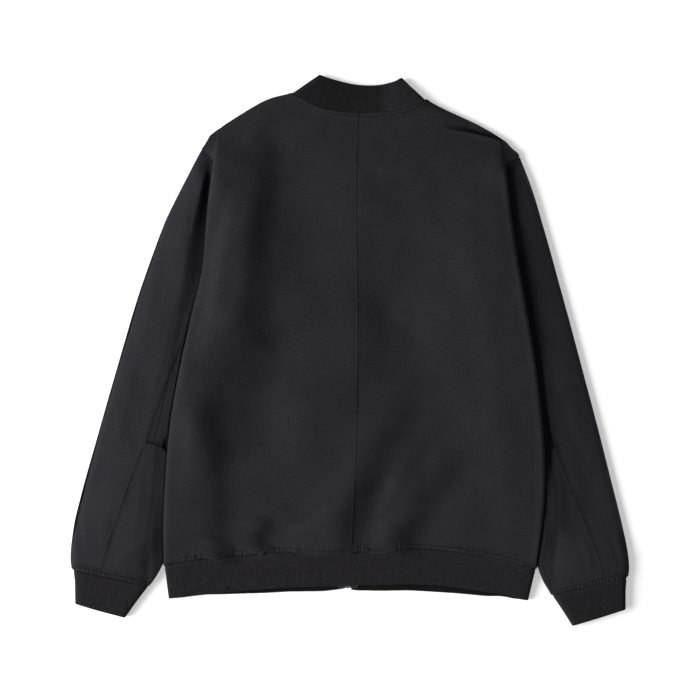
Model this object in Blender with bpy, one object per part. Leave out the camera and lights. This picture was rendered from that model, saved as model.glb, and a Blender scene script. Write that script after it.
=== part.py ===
"""A bomber jacket lying face down, with its back up and its sleeves beside the body.

The jacket rests on the plane z = 0. +Y points to the collar, +X to the wearer's right side and +Z away from
the front. Every cloth piece is a thin wall on a grid of points. Lengths in the tables and functions are
millimetres, and each object is made in metres. A side of the jacket is measured by its distance out from
x = 0, so both sides use the same functions with their own tables, and sign turns the distance into x.
"""
from collections import namedtuple
from math import cos, pi, radians, sin

import bmesh
import bpy
import numpy as np
from mathutils import Matrix, Vector

MM = 0.001          # one millimetre in metres

# Walls and clearances.
CLOTH = 1.5                         # wall of the lined shell cloth
RIB = 2.4                           # wall of the doubled rib knit
GAP = 0.3                           # clearance between touching pieces
SEAM = 0.6                          # clearance between the edges of two pieces sewn together
LAYER = CLOTH + GAP                 # between the middles of two layers that lie on each other

# Heights of the middle of the cloth above the surface that the jacket lies on.
FLOOR = CLOTH / 2
RIB_FLOOR = RIB / 2
SLEEVE_TUCK = 6.3                   # back of the sleeve where it lies under the body
SIDE_LOW = SLEEVE_TUCK + LAYER      # side seam, where the body lies on the sleeve
OUTLINE = 6.0                       # outer edge of shoulders, sleeves, collar and cuffs
OUTLINE_SEAM = 0.45                 # half the clearance at the shoulder seam, whose edges stand upright
OUTLINE_ROLL = 9.0                  # how far in from the outline the cloth turns down or up to it
BACK_PLATEAU = 14.5                 # back panel at the middle of the body
NECK_HEIGHT = 11.5                  # back panel at the neck seam and the shoulders
COLLAR_TOP = 8.5                    # back of the collar at its top edge
HEM_HEIGHT = 11.0                   # back panel at the hem seam
HEM_TOP = 8.5                       # back of the hem rib at its lower edge
NECK_SLOPE_Y, NECK_SLOPE = 190, 130 # where the back starts to go down to the neck, and over what length
HEM_SLOPE = 75                      # length over which it goes down to the hem seam
RIDGE_WIDTH = 75                    # width over which it goes down or up to the side fold

# Front closure.
PLACKET_GAP = 11.0                  # between the two front edges
PLACKET_TOP = 4.8                   # upper side of the front edges, under the zip tapes
PLACKET_SLOPE = 16.0                # width over which they rise to it

CHAIN_WIDTH, CHAIN_THICK = 5.0, 2.2
TAPE, TAPE_REACH = 0.8, 14.0        # wall of the tape, and its far edge from the middle of the zip
FRONT_HEM_Y = -290                  # front hem seam at the zip
ZIP_END, ZIP_TOP, BOX_LENGTH = -333.0, 302.0, 8.0
SLIDER_Y, SLIDER_LENGTH, SLIDER_WIDTH, PLATE = 292.0, 11.0, 9.0, 0.9
HINGE_Y, BRIDGE = 1.5, 4.0          # pull tab's axis from the slider's middle, and the inside of its bridge
TAB_WIDTH, TAB_LENGTH, TAB_THICK = 5.0, 28.0, 1.0
EYE_LENGTH, EYE_HALF = 4.2, 1.1     # opening of the tab, from its axis and across
HINGE_Z = PLACKET_TOP + GAP + TAPE / 2 - CHAIN_THICK / 2 - GAP - PLATE - GAP - TAB_THICK / 2
TAB_TILT = (HINGE_Z - TAB_THICK / 2 - 0.05) / TAB_LENGTH

Line = namedtuple("Line", "x y")
Cross = namedtuple("Cross", "y x")
Edge = namedtuple("Edge", "y out")
Inward = namedtuple("Inward", "y depth")
Wing = namedtuple("Wing", "y out down end radius")
Station = namedtuple("Station", "outer outer_y seam seam_y inner inner_y height")
Ring = namedtuple("Ring", "outer outer_y inner inner_y height")
UnderRow = namedtuple("UnderRow", "seam inner floor dip")
Fold = namedtuple("Fold", "x0 y0 x1 y1 width rise")
Side = namedtuple("Side", "name sign fold shoulder wing depth armhole neck_front collar_front stations cuff"
                  " hem_out")

# The middle seam of the back and the middle of the front closure, from hem to neck.
BACK_HEM_Y, BACK_NECK_Y = -282, 331
BACK_SEAM = [Cross(-282, 3), Cross(-210, 7), Cross(-66, 11), Cross(40, 12.5), Cross(200, 9.5),
             Cross(331, 12)]
FRONT_SEAM = [Cross(-335, -3), Cross(308, 10)]

# The side fold near the hem: its radius and the height of its underside, by y.
HEM_RADIUS = [(-346, 2.8), (-304, 3.2), (-240, 6.0)]
HEM_LOW = [(-346, RIB_FLOOR), (-304, 6.4), (-285, SIDE_LOW)]

# Hem rib: its upper seam, its lower edge, and how far the front one hangs lower.
HEM_SEAM = [Line(-262, -300), Line(-230, -296), Line(-189, -290), Line(-130, -285), Line(-70, -282),
            Line(16, -281.5), Line(98, -279), Line(140, -281), Line(168, -284), Line(220, -295),
            Line(262, -304)]
HEM_EDGE = [Line(-256, -346), Line(-215, -342.5), Line(-140, -336), Line(-70, -331.5), Line(4, -330),
            Line(81, -327.5), Line(140, -332), Line(200, -342.5), Line(250, -349)]
HEM_DROP = [Line(-250, 0), Line(-168, 4), Line(-28, 5), Line(-4, 2), Line(12, 6), Line(98, 9),
            Line(168, 8), Line(250, 0)]

# Neck: the back seam and the top edge of the collar, from the left fold to the right fold.
NECK_BACK = [Line(-81, 358.5), Line(-63, 345.4), Line(-46.6, 338.4), Line(-28, 334.2), Line(12, 331),
             Line(52, 331.4), Line(72.4, 335), Line(88, 340.6), Line(105.5, 350.5)]
COLLAR_BACK = [Line(-42, 384.5), Line(-34, 381), Line(-24, 378), Line(-12, 374.8), Line(14, 371),
               Line(40, 371), Line(54, 373), Line(62, 376), Line(71.5, 382.5)]

# The folds of the back that are big enough for the solids: ridges rise, troughs fall.
BACK_FOLDS = [
    Fold(-165, 270, -190, 60, 26, 3.0), Fold(-112, 255, -125, 60, 26, -4.5),
    Fold(-200, -40, -235, -230, 30, 3.5), Fold(-195, -60, -185, -215, 20, -5.0),
    Fold(-60, 120, -75, -150, 50, 3.5), Fold(95, 250, 150, 60, 60, 2.5),
    Fold(30, -170, 8, -265, 16, -4.0), Fold(120, -140, 70, -265, 20, -5.0),
    Fold(75, -130, 45, -255, 22, 3.0), Fold(190, -90, 150, -240, 40, 3.0),
    Fold(-100, -235, -122, -275, 14, -3.0),
]

LEFT = Side(
    name="left", sign=-1,
    fold=[Edge(-304, 259.5), Edge(-234, 260.5), Edge(-168, 257), Edge(-105, 251.5), Edge(-24, 237),
          Edge(59, 219.5), Edge(115, 205.5), Edge(154, 203), Edge(213, 198), Edge(266, 190),
          Edge(290, 186.5), Edge(309, 184)],
    shoulder=[Line(81, 358.5), Line(113, 353), Line(133, 341.5), Line(159.5, 325), Line(178, 313.5),
              Line(192, 303), Line(203, 289), Line(208, 280.5)],
    wing=[Wing(309, 11, 8, 6.9, 0.7), Wing(300, 18.5, 14, 6.9, 1.5), Wing(291, 21, 9.5, 6.9, 2.6),
          Wing(282, 14.5, 4, 7.8, 4.0), Wing(274, 6, 0, 8.1, 5.2), Wing(266, -2, 0, 8.1, 6.0),
          Wing(252, -8, 0, 8.1, 6.0)],
    depth=[Inward(-304, 8), Inward(-200, 15), Inward(-120, 26), Inward(-60, 40), Inward(-3, 57),
           Inward(42, 13), Inward(60, 8), Inward(252, 8)],
    armhole=[Edge(-3, 175), Edge(45, 164), Edge(84, 160), Edge(130, 161), Edge(192, 167), Edge(243, 183),
             Edge(272, 201), Edge(280.5, 208)],
    neck_front=[Line(81, 358.5), Line(76, 325), Line(60, 294), Line(32, 273), Line(-4, 266)],
    collar_front=[Line(42, 384.5), Line(41, 352), Line(32, 329), Line(14, 313), Line(-4.5, 307)],
    stations=[
        Station(207, 279.5, 190, 265, 190, 265, 10), Station(222.5, 252, 185, 238, 185, 238, 14),
        Station(249, 199, 191, 182, 191, 182, 18), Station(273, 140, 195.5, 120.5, 195.5, 120.5, 19),
        Station(290, 94, 203, 78, 203, 78, 19), Station(300, 62, 219, 44, 210, 42, 19),
        Station(313, 18, 238.5, 3, 175, -3, 19), Station(332, -46, 263.5, -60, 200, -73, 19),
        Station(350, -109, 284.5, -127, 218, -160, 18.5), Station(368, -174, 308, -186, 232, -204, 18),
        Station(383.5, -234, 327.5, -245, 249, -270, 17), Station(390, -290, 346, -298, 270, -315, 15),
        Station(386.5, -306, 346.5, -313.5, 281, -328, 13)],
    cuff=[Ring(385, -307, 282, -329, 13), Ring(384, -330, 297, -348, 13),
          Ring(383.5, -354, 315, -373.5, 12)],
    hem_out=[Edge(-346, 253), Edge(-300, 258.5)],
)
RIGHT = Side(
    name="right", sign=1,
    fold=[Edge(-304, 260), Edge(-269, 265), Edge(-234, 270), Edge(-168, 272.5), Edge(-105, 268.5),
          Edge(-24, 259.5), Edge(59, 245.5), Edge(115, 236), Edge(154, 229.5), Edge(213, 222.5),
          Edge(266, 215), Edge(290, 211), Edge(298, 210)],
    shoulder=[Line(105.5, 350.5), Line(131.5, 336), Line(157, 325), Line(182, 313.5), Line(201.5, 302),
              Line(215.5, 290.5), Line(227, 279), Line(237.5, 268.5)],
    wing=[Wing(298, 9, 5, 6.9, 0.7), Wing(289, 20, 9, 6.9, 1.5), Wing(280, 27, 8, 6.9, 2.6),
          Wing(271, 20, 1, 7.8, 4.0), Wing(262, 8, 0, 8.1, 5.2), Wing(254, -2, 0, 8.1, 6.0),
          Wing(242, -8, 0, 8.1, 6.0)],
    depth=[Inward(-304, 8), Inward(-200, 18), Inward(-120, 30), Inward(-60, 44), Inward(-8, 63),
           Inward(41, 13), Inward(60, 9), Inward(242, 8)],
    armhole=[Edge(-8, 193), Edge(40, 184), Edge(80, 181), Edge(126, 183), Edge(184, 191), Edge(233, 210),
             Edge(261, 230), Edge(268.5, 237.5)],
    neck_front=[Line(105.5, 350.5), Line(101, 318), Line(82, 290), Line(52, 271.5), Line(14.5, 266)],
    collar_front=[Line(71.5, 382.5), Line(71, 350), Line(60, 328), Line(40, 313), Line(15.5, 307)],
    stations=[
        Station(237, 267.5, 218, 256, 218, 256, 10), Station(246.5, 243.5, 210, 233, 210, 233, 14),
        Station(262.5, 199, 216, 184, 216, 184, 18), Station(278, 143, 225.5, 126, 225.5, 126, 19),
        Station(291, 91, 233.5, 74.5, 233.5, 74.5, 19), Station(300, 55, 238, 42, 236, 41, 19),
        Station(312, 17, 249, 3, 193, -8, 19), Station(329.5, -46, 265, -58, 214, -73, 19),
        Station(347.5, -112, 287, -137, 228, -174, 18.5), Station(364, -182, 310, -196, 242, -212, 18),
        Station(382, -252, 338.5, -263, 256, -283, 17), Station(390, -300, 353, -308, 271, -325, 15),
        Station(387, -317, 351.5, -324, 282.5, -340.5, 13)],
    cuff=[Ring(385, -318, 283, -341.5, 13), Ring(385, -340, 297, -362, 13),
          Ring(385, -362, 311.5, -385, 12)],
    hem_out=[Edge(-349, 248), Edge(-304, 259)],
)

# Sleeve: stations where its seams start and turn, and the reach of the under-sleeve round the inner fold.
GUSSET_TOP, UNDERARM, ELBOW = 4, 6, 8
FRONT_SEAM_REACH = 22.0
SLEEVE_EDGE = 12.0                  # how far in from the outer edge the back of the sleeve turns down
FRONT_TURN = 8.0                    # how far in its front turns up to the outer edge
TUCK_START, TUCK_RISE = 3.0, 26.0   # where the sleeve starts to rise beside the body, and over what width
UNDER_REACH = 7.0                   # front seam of the sleeve at the underarm, from the inner fold
ELBOW_LAP = 0.1                     # how far, in stations, the upper under-sleeve runs on under the lower
ELBOW_STEP, ELBOW_INSET = 3.4, LAYER * 1.5  # how far it goes down and in there

# Grid counts and places.
LOW_ROWS, HIGH_ROWS = 10, 7         # rows of the body below and above the underarm
FRONT_MARK_Y = 60                   # where the underarm's row meets the zip
FRONT_COLUMNS = [0, 0.035, 0.075, 0.2, 0.36, 0.52, 0.68, 0.84, 1.0]
RAMP_COLUMNS = [14.0, 7.0, 0.0]     # columns where the front climbs on the sleeve, from the crest
RAMP = 21.0                         # width of that climb
CREST_INSET = 3.0                   # how far in from the sleeve's inner fold it ends
CLIMB_END = 36.0                    # length over which the climb fades out above the underarm
NECK_STEPS = [1.5, 5.0, 10.0]       # columns near the fold of the neck, by distance from it
NECK_COLUMNS, SHOULDER_COLUMNS = 3, 5
EDGE_ROWS = [4.5, 1.2, 0.0]         # last rows of the back at the shoulder, by distance from the outline
SLEEVE_ROWS = [0, 1, 2, 3, 4, 4.67, 5.33, 6, 6.33, 6.67, 7, 7.33, 8, 8.8, 9.6, 10.4, 11, 11.5, 12]
# Rows of the upper under-sleeve, by station. They fan out from the armhole, and the last dips at the elbow.
UPPER_ROWS = [
    UnderRow(4, 6, 6, 0.0), UnderRow(4.67, 6.33, 6.33, 0.0), UnderRow(5.33, 6.67, 6.67, 0.0),
    UnderRow(6, 7, 7, 0.0), UnderRow(6.67, 7.33, 7.33, 0.0), UnderRow(7.33, 7.6, 7.6, 0.0),
    UnderRow(7.75, 7.8, 7.8, 0.5),
    UnderRow(ELBOW + ELBOW_LAP, ELBOW + ELBOW_LAP, ELBOW - 0.06, 1.0),
]
ROLL_STEPS = 4


# ---------------------------------------------------------------- curves and blends

def ease(t):
    """0 below 0, 1 above 1, and smooth between."""
    t = np.clip(t, 0.0, 1.0)
    return t * t * (3 - 2 * t)


def follow(table):
    """A smooth function through a table's rows, from its first column to its second."""
    at, value = (np.array(column, float) for column in zip(*sorted(table)))
    slope = np.gradient(value, at)

    def read(wanted):
        wanted = np.clip(wanted, at[0], at[-1])
        i = np.clip(np.searchsorted(at, wanted) - 1, 0, len(at) - 2)
        span = at[i + 1] - at[i]
        t = (wanted - at[i]) / span
        return ((1 + 2 * t) * (1 - t) ** 2 * value[i] + t * (1 - t) ** 2 * span * slope[i]
                + t * t * (3 - 2 * t) * value[i + 1] + t * t * (t - 1) * span * slope[i + 1])

    return read


def straight(table):
    """The same with straight stretches between the rows."""
    at, value = zip(*sorted(table))
    return lambda wanted: np.interp(wanted, at, value)


def between(a, b, t):
    return a + (b - a) * t


def along(points, count):
    """Points spread evenly along a polyline of (out, y) points, both ends included."""
    points = np.array(points, float)
    length = np.concatenate([[0], np.cumsum(np.linalg.norm(np.diff(points, axis=0), axis=1))])
    share = np.linspace(0, 1, count + 1) if isinstance(count, int) else np.array(count)
    return np.column_stack([np.interp(share * length[-1], length, points[:, i]) for i in range(2)])


def distance_to(points, out, y):
    """Distance from a place to a polyline."""
    place = np.array([out, y], float)
    nearest = 1e9
    for a, b in zip(points[:-1], points[1:]):
        run = b - a
        t = np.clip(np.dot(place - a, run) / np.dot(run, run), 0, 1)
        nearest = min(nearest, np.linalg.norm(place - a - t * run))
    return nearest


def rise(distance, reach):
    """A quarter of an ellipse: 0 with an upright start at the outline, 1 at the reach and beyond."""
    t = 1 - np.clip(distance / reach, 0.0, 1.0)
    return (1 - t * t) ** 0.5


back_seam = follow(BACK_SEAM)
front_seam = straight(FRONT_SEAM)
hem_seam = follow(HEM_SEAM)
hem_edge = follow(HEM_EDGE)
hem_drop = follow(HEM_DROP)


class Shape:
    """The curves of one side of the jacket, as distances out from x = 0."""

    def __init__(self, side):
        self.side = side
        self.sign = side.sign
        self.fold = follow(side.fold)
        self.depth = straight(side.depth)
        self.armhole = follow(side.armhole)
        self.hem_out = follow(side.hem_out)
        self.radius = straight(HEM_RADIUS + [(w.y, w.radius) for w in side.wing])
        self.low = straight(HEM_LOW + [(w.y, w.end) for w in side.wing])
        self.wing_out = straight([(w.y, w.out) for w in side.wing])
        self.wing_down = straight([(w.y, w.down) for w in side.wing])
        self.outline = np.array(side.shoulder, float)
        self.neck = np.array(sorted((self.sign * p.x, p.y) for p in NECK_BACK), float)
        columns = zip(Station._fields, zip(*side.stations))
        self.station = {name: follow(list(enumerate(column))) for name, column in columns}
        self.inner_at = straight([(s.inner_y, s.inner) for s in side.stations[UNDERARM:]])
        self.underarm_y = side.stations[UNDERARM].inner_y
        self.fold_top = side.wing[0].y
        self.hem_y = float(hem_seam(self.sign * HEM_SEAM[-1].x))

    def x(self, out):
        return self.sign * out


# ---------------------------------------------------------------- heights

def fold_height(x, y):
    """The sum of the soft ridges and troughs at a place."""
    total = 0.0
    for f in BACK_FOLDS:
        run = np.array([f.x1 - f.x0, f.y1 - f.y0], float)
        length = np.linalg.norm(run)
        place = np.array([x - f.x0, y - f.y0], float)
        t = np.dot(place, run) / length ** 2
        across = abs(place[0] * run[1] - place[1] * run[0]) / length
        total += f.rise * np.exp(-(across / f.width) ** 2 * 2) * ease(t * 3 + 0.5) * ease((1 - t) * 3 + 0.5)
    return total


def back_height(shape, out, y):
    """Middle of the back panel above the surface."""
    x = shape.x(out)
    up = ease((y - NECK_SLOPE_Y) / NECK_SLOPE)
    down = ease((hem_seam(x) + HEM_SLOPE - y) / HEM_SLOPE)
    base = between(BACK_PLATEAU, NECK_HEIGHT, up)
    base = between(base, HEM_HEIGHT, down)
    edge = shape.fold(y) - shape.radius(y)
    top = shape.low(y) + 2 * shape.radius(y)
    ridge = ease(1 - (edge - out) / RIDGE_WIDTH)
    calm = (1 - down) * (1 - up) * (1 - ridge ** 2)
    height = between(base, top, ridge) + fold_height(x, y) * calm
    turn = rise(distance_to(shape.outline, out, y), OUTLINE_ROLL)
    return between(OUTLINE + OUTLINE_SEAM, height, turn)


def front_height(shape, out, y, wall=CLOTH):
    """Middle of the front panel: on the surface, over the sleeve at the side, up to the shoulder seam."""
    floor = wall / 2
    seam = shape.fold(y) - shape.depth(y)
    crest = min(shape.inner_at(y) - CREST_INSET, seam - 1) if y <= shape.underarm_y else shape.armhole(y) - 2
    under = 1 - ease((y - shape.underarm_y - 1) / CLIMB_END)
    side = ease((out - crest + RAMP) / (RAMP - 1)) * under
    placket = 1 - ease((abs(shape.x(out) - front_seam(y)) - PLACKET_GAP / 2) / PLACKET_SLOPE)
    height = floor + (shape.low(y) - floor) * side + (PLACKET_TOP - wall) * placket
    turn = rise(distance_to(shape.outline, out, y), OUTLINE_ROLL)
    return between(OUTLINE - OUTLINE_SEAM, height, turn)


# ---------------------------------------------------------------- meshes

def wall(name, grid, thickness, material, ring=False):
    """A closed wall on a grid of points, given in millimetres as rows of columns. A ring joins its ends."""
    grid = np.array(grid, float)
    if ring:
        across = np.roll(grid, -1, axis=1) - np.roll(grid, 1, axis=1)
    else:
        across = np.gradient(grid, axis=1)
    up = np.gradient(grid, axis=0)
    normal = np.cross(across, up)
    normal /= np.linalg.norm(normal, axis=2, keepdims=True)
    rows, columns = grid.shape[:2]
    mesh = bmesh.new()
    sheets = []
    for half in (thickness / 2, -thickness / 2):
        points = (grid + half * normal) * MM
        sheets.append([[mesh.verts.new(p) for p in row] for row in points])
    outer, inner = sheets
    last = columns if ring else columns - 1
    for r in range(rows - 1):
        for c in range(last):
            d = (c + 1) % columns
            mesh.faces.new((outer[r][c], outer[r][d], outer[r + 1][d], outer[r + 1][c]))
            mesh.faces.new((inner[r][c], inner[r + 1][c], inner[r + 1][d], inner[r][d]))
    for c in range(last):
        d = (c + 1) % columns
        mesh.faces.new((outer[0][d], outer[0][c], inner[0][c], inner[0][d]))
        mesh.faces.new((outer[-1][c], outer[-1][d], inner[-1][d], inner[-1][c]))
    if not ring:
        for r in range(rows - 1):
            mesh.faces.new((outer[r][0], outer[r + 1][0], inner[r + 1][0], inner[r][0]))
            mesh.faces.new((outer[r + 1][-1], outer[r][-1], inner[r][-1], inner[r + 1][-1]))
    return finish(name, mesh, material)


def finish(name, mesh, material):
    bmesh.ops.recalc_face_normals(mesh, faces=mesh.faces)
    data = bpy.data.meshes.new(name)
    mesh.to_mesh(data)
    mesh.free()
    data.shade_smooth()
    data.set_sharp_from_angle(angle=radians(50))
    data.materials.append(material)
    thing = bpy.data.objects.new(name, data)
    bpy.context.scene.collection.objects.link(thing)
    return thing


def paint(name, colour, roughness, metallic=0.0):
    material = bpy.data.materials.new(name)
    material.use_nodes = True
    shader = material.node_tree.nodes["Principled BSDF"]
    shader.inputs["Base Color"].default_value = (*colour, 1)
    shader.inputs["Roughness"].default_value = roughness
    shader.inputs["Metallic"].default_value = metallic
    material.diffuse_color = (*colour, 1)
    return material


def coons(bottom, top, inner, outer, share):
    """A grid of plan points between four edges: bottom and top run outwards, inner and outer upwards."""
    rows, columns = len(inner), len(bottom)
    reach = np.concatenate([[0], np.cumsum(np.linalg.norm(np.diff(outer, axis=0), axis=1))])
    lift = reach / reach[-1]
    grid = np.zeros((rows, columns, 2))
    for r, t in enumerate(lift):
        for c, s in enumerate(share):
            flat = (1 - t) * ((1 - s) * bottom[0] + s * bottom[-1]) + t * ((1 - s) * top[0] + s * top[-1])
            grid[r, c] = between(inner[r], outer[r], s) + between(bottom[c], top[c], t) - flat
    return grid


# ---------------------------------------------------------------- body

def low_rows(shape):
    """Heights of the rows below the underarm where they meet the side seam, shared by back and front."""
    return np.linspace(shape.hem_y, shape.underarm_y, LOW_ROWS + 1)


def back_grid(shape):
    """The back panel of one side, from the middle seam to the armhole and side seams."""
    top_y = shape.fold_top
    wing_y = [w.y for w in reversed(shape.side.wing)]
    high = np.linspace(shape.underarm_y, wing_y[0], HIGH_ROWS + 1)
    sides = np.concatenate([low_rows(shape), high[1:], wing_y[1:-1], [top_y - d for d in EDGE_ROWS]])
    middle_ends = [hem_seam(back_seam(BACK_HEM_Y)), back_neck(shape)[0][1]]
    middle_y = np.interp(sides, [shape.hem_y, top_y], middle_ends)
    inner = np.array([(shape.sign * back_seam(y) + SEAM / 2, y) for y in middle_y])
    outer = np.array([(shape.fold(y) - shape.radius(y), y) for y in sides])
    top = np.concatenate([back_neck(shape), shoulder_points(shape)[1:]])
    top[0], top[-1] = inner[-1], outer[-1]
    share = np.linspace(0, 1, len(top))
    bottom_out = between(inner[0][0], outer[0][0], share)
    bottom = np.array([(out, hem_seam(shape.x(out))) for out in bottom_out])
    bottom[-1] = outer[0]
    plan = coons(bottom, top, inner, outer, share)
    grid = []
    for y, row in zip(sides, plan):
        points = [(shape.x(out), at, back_height(shape, out, at)) for out, at in row]
        points += side_roll(shape, y, row[-1][1], points[-1][2])
        grid.append(points)
    return grid


def back_neck(shape):
    """The back neck seam of one side, from the middle seam to the fold at the side of the neck."""
    middle = shape.sign * back_seam(BACK_NECK_Y)
    points = [(middle, BACK_NECK_Y)] + [tuple(p) for p in shape.neck if p[0] > middle + 8]
    return neck_columns(points)


def shoulder_points(shape, share=None):
    """Points of the shoulder seam, from the fold of the neck to the top of the side fold."""
    fold = (float(shape.fold(shape.fold_top)), shape.fold_top)
    points = [tuple(p) for p in shape.outline if p[0] < fold[0] - 4] + [fold]
    return along(points, SHOULDER_COLUMNS) if share is None else along(points, share)


def side_roll(shape, y, at, top):
    """The end of a row: round the side fold and in under it, or out over the shoulder point."""
    edge, radius, low = shape.fold(y), shape.radius(y), shape.low(y)
    wing_y = shape.side.wing[-1].y
    out = shape.wing_out(y) if y > wing_y else -shape.depth(y)
    down = shape.wing_down(y) if y > wing_y else 0.0
    half = (top - low) / 2
    points = []
    for step in range(1, ROLL_STEPS + 1):
        turn = pi * step / ROLL_STEPS
        points.append([edge - radius + radius * sin(turn), at, low + half + half * cos(turn)])
    end = np.array([edge + out + SEAM / 2, at - down, low])
    if out > -radius:
        quarter = ROLL_STEPS // 2
        start = np.array(points[quarter - 1])
        for step in range(quarter, ROLL_STEPS):
            share = (step - quarter + 1) / (ROLL_STEPS - quarter + 2)
            points[step] = list(between(start, end, share))
            points[step][2] = between(start[2], end[2], share ** 0.7)
    start = np.array(points[-1])
    for share in (0.5, 1.0):
        points.append(list(between(start, end, share)))
    return [(shape.x(p[0]), p[1], p[2]) for p in points]


def front_grid(shape):
    """The front panel of one side, from the zip and neck seam to the side seam, armhole and shoulder."""
    tip = shape.side.armhole[-1]
    arm = [float(shape.station["inner_y"](q)) for q in reversed(SLEEVE_ROWS) if q < UNDERARM]
    sides = np.concatenate([low_rows(shape), arm, [tip.y - 5, tip.y - 1.5, tip.y]])
    neck = front_neck(shape)
    straight_rows = len(sides) - len(neck)
    bottom_y = hem_seam(front_seam(FRONT_HEM_Y)) - hem_drop(front_seam(FRONT_HEM_Y))
    marks = [bottom_y, FRONT_MARK_Y, neck[0][1]]
    climb = np.interp(np.arange(straight_rows + 1), [0, LOW_ROWS, straight_rows], marks)
    inner = [(shape.sign * front_seam(y) + PLACKET_GAP / 2, y) for y in climb[:-1]]
    inner = np.array(inner + [tuple(p) for p in neck])
    seam, crest, foot = [], [], []
    neck_side = shoulder_points(shape)[-1]
    for y in sides:
        if y <= shape.underarm_y:
            edge = shape.fold(y) - shape.depth(y) - SEAM / 2
            top = min(shape.inner_at(y) - CREST_INSET, edge - 1)
        else:
            edge = shape.armhole(y) - SEAM / 2
            top = edge - 1.5
        lean = ease((y - 170) / (tip.y - 170))
        seam.append((edge, y))
        crest.append((top, y + 2 * lean))
        foot.append(between(np.array([top - RAMP, y]), neck_side, lean))
    foot = np.array(foot)
    top = shoulder_points(shape, FRONT_COLUMNS)
    bottom_out = between(inner[0][0], foot[0][0], np.array(FRONT_COLUMNS))
    bottom = np.array([(out, hem_seam(shape.x(out)) - hem_drop(shape.x(out))) for out in bottom_out])
    bottom[-1] = foot[0]
    plan = coons(bottom, top, inner, foot, FRONT_COLUMNS)
    grid = []
    for row, low, high, end in zip(plan, foot, np.array(crest), np.array(seam)):
        places = [tuple(p) for p in row]
        places += [tuple(between(high, low, distance / RAMP)) for distance in RAMP_COLUMNS] + [tuple(end)]
        grid.append([(shape.x(out), at, front_height(shape, out, at)) for out, at in places])
    return grid


def front_neck(shape):
    """The front neck seam of one side, from the zip to the fold at the side of the neck."""
    return neck_columns([(p.x, p.y) for p in reversed(shape.side.neck_front)])


# ---------------------------------------------------------------- rib knit

def collar_grid(shape):
    """Half of the collar band, from the zip round the side fold to the middle of the back."""
    front = front_neck(shape)
    back = back_neck(shape)[::-1]
    steps = [0.0] + NECK_STEPS
    front_top = neck_columns([(p.x, p.y) for p in reversed(shape.side.collar_front)])
    middle = shape.sign * back_seam(BACK_NECK_Y)
    edge = sorted((shape.sign * p.x, p.y) for p in COLLAR_BACK)
    centre_y = np.interp(middle, *zip(*edge))
    back_top = neck_columns([(middle, centre_y)] + [p for p in edge if p[0] > middle + 4])[::-1]
    seam = np.concatenate([front, back[1:]])
    top = np.concatenate([front_top, back_top[1:]])
    grid = []
    for v in np.linspace(SEAM / 40, 1, 4):
        row = []
        for c, (a, b) in enumerate(zip(seam, top)):
            out, y = between(a, b, v)
            away = abs(c - (len(front) - 1))
            turn = rise(steps[away], OUTLINE_ROLL) if away < len(steps) else 1.0
            placket = 1 - ease((abs(shape.x(out) - front_seam(y)) - PLACKET_GAP / 2) / PLACKET_SLOPE)
            if c < len(front):
                height = RIB_FLOOR + (PLACKET_TOP - RIB) * placket
            else:
                height = between(NECK_HEIGHT, COLLAR_TOP, v)
            row.append((shape.x(out), y, between(OUTLINE, height, turn)))
        grid.append(row)
    return grid


def neck_columns(points):
    """Points along a neck edge that ends at the side fold, closer together near the fold."""
    points = np.array(points, float)
    length = np.concatenate([[0], np.cumsum(np.linalg.norm(np.diff(points, axis=0), axis=1))])
    wanted = list(np.linspace(0, length[-1] - NECK_STEPS[-1], NECK_COLUMNS + 1))
    wanted += [length[-1] - step for step in reversed(NECK_STEPS[:-1])] + [length[-1]]
    return np.column_stack([np.interp(wanted, length, points[:, i]) for i in range(2)])


def hem_grid(shape, back_row, front_row):
    """Half of the hem band, under the panels' first rows, from the zip round the side to the back."""
    main = len(back_row) - ROLL_STEPS - 2
    edge_out = shape.fold(shape.hem_y)
    grid = []
    for v in (0.0, 0.5, 1.0):
        side_y = between(shape.hem_y, HEM_EDGE[0].y, v)
        shrink = shape.hem_out(side_y) / edge_out
        row = []
        for x, seam_y, _ in front_row:
            out = shape.sign * x * shrink
            at = shape.x(out)
            y = between(seam_y - SEAM, hem_edge(at) - hem_drop(at), v)
            if x == front_row[0][0]:
                out = shape.sign * front_seam(y) + PLACKET_GAP / 2
            row.append((shape.x(out), y, front_height(shape, out, y, RIB)))
        x_edge = shape.x(edge_out * shrink)
        y = between(shape.hem_y - SEAM, hem_edge(x_edge), v)
        low = row[-1][2]
        top = between(back_row[main - 1][2], HEM_TOP, ease(v))
        radius = (top - low) / 2
        for step in range(ROLL_STEPS, -1, -1):
            turn = pi * step / ROLL_STEPS
            out = edge_out * shrink - radius + radius * sin(turn)
            row.append((shape.x(out), y, low + radius + radius * cos(turn)))
        for x, seam_y, z in reversed(back_row[:main - 1]):
            at = x * shrink
            row.append((at, between(seam_y - SEAM, hem_edge(at), v), between(z, HEM_TOP, ease(v))))
        grid.append(row)
    return grid


def band(name, halves, material):
    """One strip from the left front edge round the back to the right front edge."""
    left, right = halves
    grid = []
    for a, b in zip(left, right):
        middle = between(np.array(a[-1]), np.array(b[-1]), 0.5)
        grid.append(a[:-1] + [tuple(middle)] + b[-2::-1])
    return wall(name, grid, RIB, material)


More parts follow.
